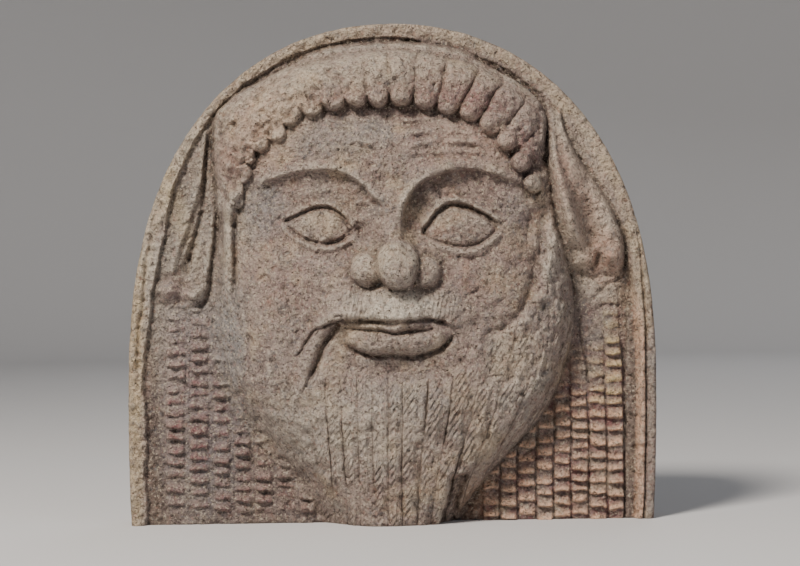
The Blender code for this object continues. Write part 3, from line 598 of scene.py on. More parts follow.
hair = dict(
    centre=(-0.2, 114.2), outer=88.0, end=79, base=24.4,    # middle of the locks' rays, reach, last angle
    beyond=8.5,                     # degrees to a lock past the outermost tips
    fallFrom=70, fall=(2.3, 0.6), flank=8.0,    # the fall to the rim: from this radius, its powers; its side
    step=3.0, stepRise=3.2, under=6.0,  # the step up from the forehead: width, height, how deep it starts
    rough=((0.8, 7.5, 92), (0.8, 3.0, 93), (0.45, 1.5, 96), (0.45, 2.2, 94)),   # height, size, seed
    tipSwell=((-20, -16, 35, 50), (0.14, 0.3, 0.3, 0.55)),      # angles, rise of a tip in shares of its size
    # each lock from left to right: its angle, how far out its tip lies, radius of the tip
    tips=((-70.6, 67.4, 3.0), (-61.5, 68.4, 2.7), (-57, 69.3, 2.6), (-51.7, 69.7, 3.4),
          (-44.7, 66.8, 3.8), (-36.9, 67.9, 2.9), (-29.6, 66.5, 3.6), (-21.7, 63.9, 3.0),
          (-13, 62.8, 3.3), (-5.4, 62.1, 4.1), (3.4, 63.2, 4.7), (12.6, 62.6, 4.1), (21.4, 62.4, 3.2),
          (29.6, 64.7, 3.9), (38.0, 64.9, 4.1), (46.6, 65.0, 3.9), (55.2, 65.6, 3.9), (64.2, 65.3, 3.2)),
    crestAt=(-80, -60, -35, 0, 35, 55, 78), crest=(34, 42, 47.4, 49, 47.4, 42.6, 33),
    groove=(0, 0, 0.6, 2.2, 4.0, 2.8, 1.6),
    lines=(
        # cracks on the worn left side, creases behind some tips
        (((-31.4, 194), (-32.6, 191.4), (-34.4, 189.2)), -0.8, 0.5, (0.2, 0.2)),
        (((-43.6, 180), (-41.6, 184), (-39.6, 187), (-36, 187.8)), -0.6, 0.6, (0.3, 0.3)),
        (((-23.6, 191.6), (-22.8, 187), (-22.4, 182)), -0.7, 0.6, (0.3, 0.3)),
        (((-66, 148.2), (-62, 150), (-57.6, 152.6), (-54.6, 155)), -1.2, 0.7, (0.3, 0.1)),
        (((-59, 147), (-55.6, 149), (-51.6, 149.8)), -1.0, 0.7, (0.2, 0.3)),
        (((-1, 183.4), (2.4, 185), (4.6, 186.4)), -0.8, 0.6, (0.3, 0.3)),
        (((17.4, 174), (20, 174.3), (23, 175.4)), -1.1, 0.5, (0.2, 0.2)),
        (((-75, 152), (-73.6, 147), (-70.4, 141)), -1.0, 0.8, (0.2, 0.2)),
    ),
    # round curls where the fringe ends: centre, radius, rise
    curls=(((47.6, 159.4), 4.6, 8.0), ((53.4, 150.6), 4.6, 8.6), ((58.4, 142.0), 4.4, 7.6),
           ((-64.6, 134.4), 3.2, 4.2)),
    nicks=((-35, 177, 0.9, 1.5), (-52.6, 171.4, 1.6, 1.0), (30.4, 171.8, 1.7, 1.2),
           (-47, 165.8, 1.3, 0.9), (56.8, 148.4, 1.2, 0.9), (-74.2, 151.6, 1.2, 0.9),
           (-58, 177, 1.0, 0.8)),
)


def hairSurface(p, q, face, depth):
    # radial locks: half-round across, root(1 - (2 across)^2), an easy fall to the rim, (1 - t^a)^b; they
    # step up from the forehead in a quarter circle and end in round tips
    x, y = p - hair["centre"][0], q - hair["centre"][1]
    radius = np.hypot(x, y)
    angle = np.degrees(np.arctan2(x, y))
    angles, reach, tipSize = np.array(hair["tips"]).T
    angle = angle + 0.7 * noise(p, q, 9, 91) * smoothStep(66, 74, radius)
    place = np.interp(angle, angles, np.arange(len(angles)))
    place = place + np.where(angle < angles[0], (angle - angles[0]) / hair["beyond"], 0)
    place = place + np.where(angle > angles[-1], (angle - angles[-1]) / hair["beyond"], 0)
    across = place - np.round(place)
    crown = np.sqrt(np.clip(1 - (2 * across) ** 2, 0, 1))
    inner = np.interp(angle, angles, reach) + 0.6 - np.interp(angle, angles, tipSize) * crown
    inner += 0.7 * smoothStep(-30, -46, angle) * noise(p, q, 3.0, 95)
    crest = np.interp(angle, hair["crestAt"], hair["crest"])
    t = np.clip((radius - hair["fallFrom"]) / (hair["outer"] - hair["fallFrom"]), 0, 1)
    fall, power = hair["fall"]
    body = plaque["rim"] + (crest - plaque["rim"]) * (1 - t ** fall) ** power
    groove = np.interp(angle, hair["crestAt"], hair["groove"])
    groove = groove * smoothStep(hair["outer"], hair["outer"] - 6, radius)
    body += (crown - 0.72) * groove
    flank = np.sqrt(1 - (1 - np.clip(depth / hair["flank"], 0, 1)) ** 2)
    body = hair["base"] + (body - hair["base"]) * flank
    rest = hair["end"] - np.abs(angle + 1.5)
    start = np.clip((radius - inner) / hair["step"], 0, 1)
    fade = smoothStep(0, np.where(angle < 0, 6, 14), rest)
    low = face + (np.maximum(face - 0.6, body - hair["under"]) - face) * fade
    high = face + (np.maximum(body, face + hair["stepRise"] + smoothStep(-45, -62, angle)) - face) * fade
    isHair = (radius > inner) & (rest > 0)
    # both ends of the fringe are worn rough
    tired = np.maximum(smoothStep(-8, -34, angle), 1.1 * smoothStep(40, 56, angle))
    broad, middling, fine, allOver = (rise * noise(p, q, size, seed) for rise, size, seed in hair["rough"])
    rough = tired * (broad + middling + fine) + allOver
    rough *= smoothStep(0, 0.6, start) * fade
    mass = np.where(isHair, low + rough + (high - low) * np.sqrt(1 - (1 - start) ** 2), face)
    for tipAngle, tipReach, size in hair["tips"]:
        turn = radians(tipAngle)
        centre = (hair["centre"][0] + tipReach * sin(turn), hair["centre"][1] + tipReach * cos(turn))
        mound(mass, p, q, centre, (1.25 * size, 1.25 * size), np.interp(tipAngle, *hair["tipSwell"]) * size)
    for centre, size, rise in hair["curls"]:
        ball(mass, p, q, centre, (size, size), face, rise, 0.8)
        pit(mass, p, q, centre, 0.35 * size, 0.9)
    addLines(mass, p, q, hair)
    return mass


ears = dict(
    lines=(
        # left: outer leaf, the slit, thin inner fold and the groove that parts it from the head
        (((-78.4, 166), (-79, 159.5), (-79.8, 153.5), (-80.6, 146.5), (-81.8, 141), (-83.6, 135),
         (-85.4, 129), (-87.8, 122), (-90, 116), (-92, 109), (-93.6, 101)),
         (1.2, 1.6, 2.0, 2.3, 2.6, 2.6, 2.4), (0.9, 1.2, 1.4, 1.5, 1.8), (0.04, 0.1), 3.4, 2.2),
        (((-77.3, 164), (-78, 157.5), (-78.8, 149), (-79.2, 141), (-80, 134), (-81, 128), (-82.5, 122),
         (-84, 116.5), (-85.6, 111.5), (-87.6, 106.5)), (-1.2, -1.6, -1.7, -1.9, -2.6, -3.0),
         (0.7, 0.8, 0.8, 1.1, 1.6), (0.1, 0.12)),
        (((-76.6, 150), (-76, 142.5), (-75.6, 134), (-75.8, 125), (-76.6, 117), (-77.6, 110),
         (-78.4, 104), (-80, 99), (-83, 95.4), (-87, 94)), (0.8, 1.1, 1.3, 1.6, 2.0, 2.4),
         (1.0, 1.2, 1.6, 2.4), (0.15, 0.1), 1.0, 2.2),
        (((-74.8, 153), (-74.4, 145.5), (-74.1, 139.5), (-74, 131), (-74.4, 123), (-75, 115), (-76, 109),
         (-76.6, 102), (-77, 97), (-79, 92.6), (-82.6, 90.4), (-87, 90)),
         (-0.7, -0.8, -0.9, -1.2, -2.2, -1.6), (0.6, 0.7, 1.2), (0.05, 0.1)),
        # right: the fold beside the beard, the helix, the line round it
        (((66.4, 176), (66.5, 168), (66.7, 160), (67.2, 154), (68.4, 147.5), (69.8, 141), (71.4, 134.5),
         (73.2, 128.5), (75.4, 123), (77.6, 118.6), (80.4, 115.6)), (1.8, 2.8, 3.4, 3.8, 4.2, 4.0),
         (1.7, 2.3, 2.7, 2.9), (0.06, 0.08), 1.0, 2.4),
        (((69.4, 174), (70.8, 165), (73.4, 157), (77, 149.6), (81, 143), (85.2, 136.6), (89, 130),
         (92, 123.6), (93.8, 117), (93.4, 110.6), (91, 106)), (1.8, 2.6, 3.2, 3.6, 3.8, 3.8, 3.2),
         (1.0, 1.8, 2.8, 3.4, 3.4), (0.05, 0.1), 1.7, 2.4),
        (((70.6, 174), (72.6, 165), (75, 159.6), (78, 154), (82, 148.5), (85.4, 143.5), (89, 137.5),
         (92.4, 131.5), (95.6, 125), (97.8, 118.5), (98.4, 112), (97.6, 106), (95, 102.6), (91, 101)),
         (-1.4, -1.6, -1.2, -1.4, -2.0, -2.2, -1.2), (0.7, 0.8, 0.9, 1.1), (0.05, 0.15)),
        (((68.2, 168), (68.8, 158), (70.2, 151), (72.2, 144), (74.6, 137), (78, 130)),
         (-1.0, -1.2, -1.2, -1.0), (1.0, 1.6, 2.4, 2.8), (0.15, 0.3)),
        # lobe: the bar across it and its curl
        (((78, 118), (81, 115.4), (85, 115.6), (89, 118), (92, 121)), 1.6, 1.7, (0.15, 0.15)),
        (((87.6, 113.6), (85.8, 109.8), (83, 105.6)), (-1.6, -2.2, -1.8), (1.0, 1.3, 1.2), (0.15, 0.15)),
        (((75.6, 108), (79, 104.4), (83.6, 103), (88, 104.6), (92, 101.6)), (-0.6, -1.0, -0.8), 1.1,
         (0.2, 0.2)),
        (((96.6, 104), (94, 101.4), (90.2, 99.4), (86.8, 96), (84, 92.6), (79.5, 88)),
         (-1.2, -0.8, -0.6, -0.3), (0.9, 1.0), (0.1, 0.2)),
        # a crack down through the worn locks
        (((79.6, 87), (78.8, 82), (80, 74), (81.8, 66), (82.6, 58)), -1.2, 0.5, (0.1, 0.1)),
    ),
    # centre, radii, rise, turn: left lobes and hollow, right leaf, its hollow and its lobe
    mounds=(((-94, 97.4), (7.8, 6.8), 5.4, 0), ((-84, 95.6), (6.6, 5.6), 3.8, 0),
            ((-86.6, 107.6), (3.0, 7.0), -2.0, -12), ((-80.5, 112), (4.5, 14), 0.8, 0),
            ((70, 138), (13, 46), 13.0, 6), ((82.5, 130), (16, 42), 6.4, 22),
            ((80.6, 129), (5.6, 20), -1.8, 22), ((81, 110.6), (6.8, 6.8), 4.2, 0),
            ((82, 98), (10, 11), 1.4, -30), ((92.0, 111.2), (6.4, 8), 3.4, 0),
            ((70.5, 112), (5, 22), 0.8, -8)),
    nicks=((86, 131, 1.3, 0.9), (-88, 118, 1.4, 0.5), (83.4, 116.4, 0.9, 0.5)),
)


def raiseEars(height, p, q):
    # long folds on the slab, each a ridge with its grooves
    addMounds(height, p, q, ears["mounds"])
    addLines(height, p, q, ears)


sideLocks = dict(
    # boundaries of the columns at the foot and the level each reaches, how far a lock stands up and its
    # ground, share of its rounded corner, sway of the columns above a level, height of a row and of the
    # first row in each column; lip: where it is highest, how far it runs up, the power of its fall;
    # joint between columns: depth (below zero a seam that stands up) and share of the width
    right=dict(columns=(37.5, 45.1, 52.7, 60.7, 68.2, 75.4, 82.9, 90.5, 97.8),
               top=(50, 60, 60, 47, 52, 55, 55, 79),
               rise=2.1, base=1.4, corner=0.10, sway=-0.045, swayFrom=43,
               rows=(5.6, 5.4, 5.8, 5.7, 5.6, 4.65, 5.6, 5.5), first=(2.4, 0.8, 2.6, 5.3, 6.2, 2.7, 4.8, 4.4),
               lip=(0.22, 0.78, 1.8), joint=(0.8, 0.10)),
    left=dict(columns=(-96.0, -86.2, -76.4, -67.2, -58.4, -49.2, -39.8, -32.0),
              top=(94, 95, 82, 66, 62, 62, 50),
              rise=1.8, base=0.8, corner=0.17, sway=0.02, swayFrom=60,
              rows=(5.2, 5.2, 5.3, 5.0, 5.1, 4.6, 4.9), first=(12.6, 10.6, 9.1, 8.0, 6.9, 4.6, 3.4),
              lip=(0.24, 0.62, 1.2), joint=(-0.3, 0.08)),
    unevenSize=0.34, stripRise=1.5,     # how much the locks differ in size; level of the strip outside them
)


def raiseSideLocks(height, p, q, edge):
    # columns of small locks like roof tiles: a lip near the foot of each, a quarter sine up to it and
    # (1 - u / run)^fall above it, and the rows step from column to column
    crest = np.zeros_like(height)
    # the strip outside the right-hand locks stands level with them
    strip = smoothStep(98.1, 98.9, p - 0.3 * noise(p, q, 11, 31)) * smoothStep(104, 92, q)
    level = sideLocks["stripRise"]
    height += np.where(edge > 9, level, level * smoothStep(5, 9, edge)) * strip
    for name in ("right", "left"):
        side = sideLocks[name]
        x = p - side["sway"] * np.clip(q - side["swayFrom"], 0, None)
        x = x + 0.3 * noise(p, q, 11, 31) + 0.1 * noise(p, q, 2.5, 35)
        columns = np.array(side["columns"])
        column = np.clip(np.searchsorted(columns, x) - 1, 0, len(columns) - 2)
        width = columns[column + 1] - columns[column]
        across = (x - columns[column]) / width
        near = np.minimum(across, 1 - across)
        wobble = 0.9 * noise(column * 37.0, q, 8, 33) + 0.4 * noise(p, q, 3, 34)
        wobble = wobble + 0.5 * (near ** 2) * noise(p, q, 9, 36)
        row = (q - np.array(side["first"])[column] + wobble) / np.array(side["rows"])[column]
        number = np.floor(row)
        up = row - number
        size = 1 + sideLocks["unevenSize"] * np.sin(number * 5.1 + column * 2.3)
        peak, run, fall = side["lip"]
        jointDepth, jointShare = side["joint"]
        joint = jointDepth * (1 - smoothStep(0.02, jointShare, near))
        if name == "right":
            lip = (1 - np.clip(up - peak, 0, 1) / run) ** fall
            lip = np.where(up < peak, np.sin(np.pi / 2 * np.minimum(up / peak, 1)), lip)
            body = 0.25 + 0.75 * smoothStep(0.0, side["corner"] * 1.6, near)
        else:
            lip = np.clip(1 - (up - peak) / run, 0, 1) ** fall
            lip = np.where(up < peak, np.sin(np.pi / 2 * up / peak), lip)
            body = smoothStep(0.03, side["corner"] * 1.5, near)
        lock = side["rise"] * size * lip * body - joint
        top = np.array(side["top"])[column]
        # the columns end above, on the right in two stages; the left ones are worn, and most at the foot
        fade = 0.6 * smoothStep(top + 2.5, top - 1.5, q + 2 * noise(p, q, 5, 43))
        fade = fade + 0.4 * smoothStep(top + 26, top + 16, q)
        if name == "left":
            fade = smoothStep(top + 4, top - 10, q)
            fade = fade * smoothStep(2.0, 6.5, q + 1.6 * noise(p, q, 8, 41))
            fade = fade * np.clip(0.95 + 0.4 * noise(p, q, 6, 42), 0.4, 1.3)
            fade = fade * (0.72 + 0.28 * smoothStep(84, 60, q))
        inside = (x > columns[0]) & (x < columns[-1]) & (q < top + 28) & (edge > 9)
        border = smoothStep(0, 1.2, x - columns[0]) * smoothStep(0, 0.7, columns[-1] - x)
        raised = height + (side["base"] + lock) * fade * border
        crest[inside] = (lip * body * fade * border)[inside]
        height[inside] = raised[inside]
    return crest


overall = dict(
    apart=2, joint=(0.8, 2.4),          # how steeply the head ends outside its outline; softness of its joint
    grit=((0.30, 3.1, 62), (0.22, 1.5, 61)), pits=(1.1, 1.9, 0.62),
        # height, size, seed; depth, size, from
)


def relief(p, q):
    # the highest of plaque, ears, side locks and head at each place, and marks for the clay's colours
    shape = p.shape
    p, q = p.ravel().astype(float), q.ravel().astype(float)
    height, edge, along = plaqueSurface(p, q)
    depth, swell = headSurface(p, q)
    raiseEars(height, p, q)
    crest = raiseSideLocks(height, p, q, edge)
    face = plaque["field"] + 1 + head["rise"] * swell
    carveCheeks(face, p, q)
    carveBrows(face, p, q)
    carveEyes(face, p, q)
    carveNose(face, p, q)
    combed = carveMouth(face, p, q)
    strands = combBeard(face, p, q, depth)
    face = hairSurface(p, q, face, depth)
    # head and slab run into each other, softly at the beard's left flank
    face = face - overall["apart"] * np.clip(-depth, 0, None)
    least, more = overall["joint"]
    soft = least + more * smoothStep(-20, -50, p) * smoothStep(118, 100, q)
    overlap = np.clip(soft - np.abs(height - face), 0, None)
    height = np.maximum(height, face) + overlap ** 2 / (4 * soft)
    # grit and small pits everywhere
    broad, fine = (rise * noise(p, q, size, seed) for rise, size, seed in overall["grit"])
    height += broad + fine
    pitDepth, pitSize, pitFrom = overall["pits"]
    height -= pitDepth * np.clip(noise(p, q, pitSize, 63) - pitFrom, 0, 1)
    marks = dict(depth=depth, edge=edge, along=along, lockCrest=crest, combed=combed, **strands)
    return height.reshape(shape), marks


# mesh of the whole piece

shell = dict(
    columns=620, rows=560, wallRows=24,
    coarse=4,                       # one face of the back to so many of the front
    corner=150.0,                   # level at which the sides end and the arch begins
    triangles=190000, draftShare=0.5,
)


def archPatch(columns, rows):
    # Coons patch: the foot, the two sides up to the corner level and the arch above it, blended across;
    # place = sides by u + ends by v - the corners counted twice
    footHalf = archHalfWidth(np.array([0.0]))[0]
    slope = footHalf * tan(radians(plaque["lean"]))
    u = np.linspace(0, 1, columns + 1)[None, :, None]
    v = np.linspace(0, 1, rows + 1)[:, None, None]
    foot = np.stack([footHalf * (2 * u[0, :, 0] - 1), slope * (2 * u[0, :, 0] - 1)], axis=-1)[None]
    leftQ = -slope + (shell["corner"] + slope) * v[:, 0, 0]
    rightQ = slope + (shell["corner"] - slope) * v[:, 0, 0]
    left = np.stack([-archHalfWidth(leftQ), leftQ], axis=-1)[:, None]
    right = np.stack([archHalfWidth(rightQ), rightQ], axis=-1)[:, None]
    arch = archLine(0.0, 4000)
    arch = arch[arch[:, 1] >= shell["corner"]]
    arch = np.vstack([left[-1], arch, right[-1]])
    runs = np.concatenate([[0], np.cumsum(np.hypot(*np.diff(arch, axis=0).T))])
    share = runs / runs[-1]
    top = np.stack([np.interp(u[0, :, 0], share, arch[:, 0]), np.interp(u[0, :, 0], share, arch[:, 1])],
                   axis=-1)[None]
    corners = ((1 - u) * (1 - v) * foot[0, 0] + u * (1 - v) * foot[0, -1]
               + (1 - u) * v * top[0, 0] + u * v * top[0, -1])
    return (1 - v) * foot + v * top + (1 - u) * left + u * right - corners


def ringOf(indices):
    # a grid's border, anticlockwise from its lower left corner
    return np.concatenate([indices[0, :-1], indices[:-1, -1], indices[-1, :0:-1], indices[:0:-1, 0]])


def quadsOf(indices, flip=False):
    a, b, c, d = indices[:-1, :-1], indices[:-1, 1:], indices[1:, 1:], indices[1:, :-1]
    quads = np.stack([a, b, c, d], axis=-1).reshape(-1, 4)
    return quads[:, ::-1] if flip else quads


back = dict(
    strokes=0.35, grain=0.12,                   # depth of the smoothing strokes and of the finer marks
    band=(70, 98), bandEdge=4, bandCentre=96,   # scored ring: inner and outer radius, soft edge, level
    scoring=1.3, scoringPitch=1.9,              # depth, and pitch over two pi
)


def backSurface(p, q):
    # flat, hand-smoothed: long shallow strokes cut into the plane, depth * (1 + noise), and a scored band
    # where the tile was luted on, depth * the upper half of a sine, squared
    strokes = back["strokes"] * (1 + noise(p * 0.35, q * 1.6, 9, 51)) + back["grain"] * (1
        + noise(p, q, 3, 52))
    radius = np.hypot(p, (q - back["bandCentre"]) * 0.98)
    (inner, outer), soft = back["band"], back["bandEdge"]
    band = smoothStep(inner, inner + soft, radius) * smoothStep(outer, outer - soft, radius)
    band = band * smoothStep(-40, -20, q - 40)
    wave = np.sin((p * 0.8 + q * 0.6) / back["scoringPitch"] + 1.5 * noise(p, q, 14, 53))
    return strokes + back["scoring"] * band * np.clip(wave, 0, 1) ** 2


def buildShell():
    coarse = shell["coarse"]
    share = 1.0
    columns = int(shell["columns"] * share) // coarse * coarse
    rows = int(shell["rows"] * share) // coarse * coarse
    plan = archPatch(columns, rows)
    p, q = plan[..., 0], plan[..., 1]
    height, _ = relief(p, q)
    print(f"relief: {p.size} places, {height.min():.1f} to {height.max():.1f} mm")

    frontIndex = np.arange(p.size).reshape(p.shape)
    points = [np.column_stack([p.ravel(), q.ravel(), height.ravel()])]
    faces = [quadsOf(frontIndex)]
    count = p.size

    # walls from the border of the front to the border of the back
    border = ringOf(frontIndex)
    borderP, borderQ, borderH = p.ravel()[border], q.ravel()[border], height.ravel()[border]
    rings = [border]
    for k in range(1, shell["wallRows"]):
        level = borderH * (1 - k / shell["wallRows"])
        points.append(np.column_stack([borderP, borderQ, level]))
        rings.append(count + np.arange(border.size))
        count += border.size
    rings = np.array(rings)
    closedRings = np.concatenate([rings, rings[:, :1]], axis=1)
    faces.append(quadsOf(closedRings, flip=True))

    # the back, coarser, joined to the last ring by faces with several edges on that side
    backP, backQ = p[::coarse, ::coarse], q[::coarse, ::coarse]
    backIndex = count + np.arange(backP.size).reshape(backP.shape)
    points.append(np.column_stack([backP.ravel(), backQ.ravel(), backSurface(backP, backQ).ravel()]))
    faces.append(quadsOf(backIndex, flip=True))
    backBorder = ringOf(backIndex)
    lastRing = np.concatenate([rings[-1], rings[-1][:1]])
    fine = np.stack([lastRing[k:k + border.size:coarse][:backBorder.size] for k in range(coarse + 1)],
                    axis=-1)
    joint = np.column_stack([fine[:, ::-1], backBorder, np.roll(backBorder, -1)])
    return np.vstack(points), faces, joint


def centreLine():
    # where the middle of the leaning outline lies, in metres
    lean = radians(plaque["lean"])
    outline = archLine(-2.0, 4000)
    x = outline[:, 0] * cos(lean) + outline[:, 1] * sin(lean)
    return (x.min() + x.max()) / 2 * mm


def toFrame(points):
    # lying plaque to standing: width and height turned by the lean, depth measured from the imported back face
    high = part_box("antefix")[1]
    lean = radians(plaque["lean"])
    p, q, height = points.T
    return np.column_stack([(p * cos(lean) + q * sin(lean)) * mm - centreLine(),
                            high.y - height * mm,
                            (q * cos(lean) - p * sin(lean)) * mm])


def makeMesh(name, points, faces, joint):
    mesh = bpy.data.meshes.new(name)
    polygons = [face.tolist() for face in faces]
    polygons = sum(polygons, []) + joint.tolist()
    mesh.from_pydata(toFrame(points), [], polygons)
    mesh.update()
    return mesh


def buildAntefix():
    points, faces, joint = buildShell()
    dense = bpy.data.objects.new("dense", makeMesh("dense", points, faces, joint))
    bpy.context.scene.collection.objects.link(dense)
    thin = dense.modifiers.new("thin", "DECIMATE")
    thin.ratio = shell["triangles"] / (2 * sum(len(face) for face in faces) + joint.size)
    graph = bpy.context.evaluated_depsgraph_get()
    mesh = bpy.data.meshes.new_from_object(dense.evaluated_get(graph))
    mesh.name = "antefixClay"
    bpy.data.objects.remove(dense)
    tidy = bmesh.new()
    tidy.from_mesh(mesh)
    bmesh.ops.recalc_face_normals(tidy, faces=tidy.faces)
    tidy.to_mesh(mesh)
    tidy.free()
    mesh.polygons.foreach_set("use_smooth", np.ones(len(mesh.polygons), bool))
    antefix = bpy.data.objects.new("antefixClay", mesh)
    bpy.context.scene.collection.objects.link(antefix)
    print(f"antefix: {len(mesh.polygons)} faces after thinning")
    return antefix


# fired clay

def linear(code):
    # sRGB hex to linear: ((c + 0.055) / 1.055) to the 2.4, or c / 12.92 in the darks
    parts = [int(code[i:i + 2], 16) / 255 for i in (1, 3, 5)]
    return [c / 12.92 if c <= 0.04045 else ((c + 0.055) / 1.055) ** 2.4 for c in parts] + [1.0]


def addNode(tree, kind, settings=None, inputs=None):
    # a node with its settings, and its sockets filled or linked
    node = tree.nodes.new(kind)
    for name, value in (settings or {}).items():
        setattr(node, name, value)
    for name, value in (inputs or {}).items():
        socket = node.inputs[name]
        if isinstance(value, bpy.types.NodeSocket):
            tree.links.new(value, socket)
        else:
            socket.default_value = value
    return node


clay = dict(
    base="#a5938a", roughness=0.94, specular=0.2,
    # cloudy stains left by firing and burial: size in mm, from and to where the noise shows, colour, strength
    stains=(
        (21.0, 0.46, 0.62, "#937d7a", 0.45),
        (15.0, 0.48, 0.64, "#c3ad90", 0.55),
        (12.0, 0.52, 0.68, "#83817f", 0.55),
        (9.0, 0.53, 0.69, "#93705f", 0.45),
        (3.4, 0.50, 0.70, "#75675c", 0.35),
        (2.6, 0.52, 0.70, "#c6b6a2", 0.30),
    ),
    # what lies on the clay in places, with painted shade and painted highlight among it, put there at the
    # vertices further down: layer and colour
    coats=(
        ("soilAndShade", "#6e6057"), ("cool", "#878a8c"), ("pale", "#d6ccbd"), ("rose", "#835658"),
        ("peach", "#eec2a4"), ("ochre", "#d6bf92"), ("grimeAndShade", "#40352d"),
    ),
    # sand in the clay, drawn coarser than its 0.2 mm so that it shows: size, from, to, colour, strength
    sand=(
        (1.3, 0.52, 0.66, "#cfc2ae", 0.6), (1.4, 0.52, 0.66, "#5a4f46", 0.65),
        (2.2, 0.56, 0.70, "#a97564", 0.25), (1.9, 0.56, 0.68, "#717980", 0.3),
    ),
    # roughness that throws shadows: size and depth in mm
    relief=((0.8, 2.3), (2.1, 1.9), (6.0, 2.2)),
    # the coats are broken up by noise: its size, from, to, and the least and most it leaves of them
    patchy=(2.8, 0.36, 0.60, 0.45, 1.15),
    # air holes and lost grit: size, from, to; their colour and depth, the same for the beard's partings,
    # which reach this share of a strand to each side; in the partings that dark colour is painted shade
    parting=0.07,
    holes=((2.1, 0.74, 0.82), (1.0, 0.69, 0.79)), hollowAndShadeColour="#54473d", hollowDepth=0.6,
    # slanting cuts of the beard and the combed moustache: pitch, lean in degrees, depth; the wave
    # texture's scale for bands 1 mm apart
    cuts=(("scored", 2.0, 34.0, 0.9), ("combed", 1.7, 10.0, 0.6)), bandScale=0.314,
    # the beard's scratches: width, how many times as long, depth
    scratches=(1.3, 4.5, 2.4),
)


def mottled(tree, place, colour, layers, apart, detail, roughness):
    # over the colour, layer by layer: noise of its size, eased between two values, times its strength
    for number, (size, low, high, tint, strength) in enumerate(layers):
        cloud = addNode(tree, "ShaderNodeTexNoise", {"noise_dimensions": "4D"},
                        {"Vector": place, "W": apart * number, "Scale": 1 / size, "Detail": detail,
                         "Roughness": roughness})
        amount = addNode(tree, "ShaderNodeMapRange", {"interpolation_type": "SMOOTHSTEP"},
                         {"Value": cloud.outputs["Fac"], "From Min": low, "From Max": high,
                          "To Max": strength})
        mix = addNode(tree, "ShaderNodeMix", {"data_type": "RGBA"},
                      {"Factor": amount.outputs[0], 6: colour, 7: linear(tint)})
        colour = mix.outputs[2]
    return colour


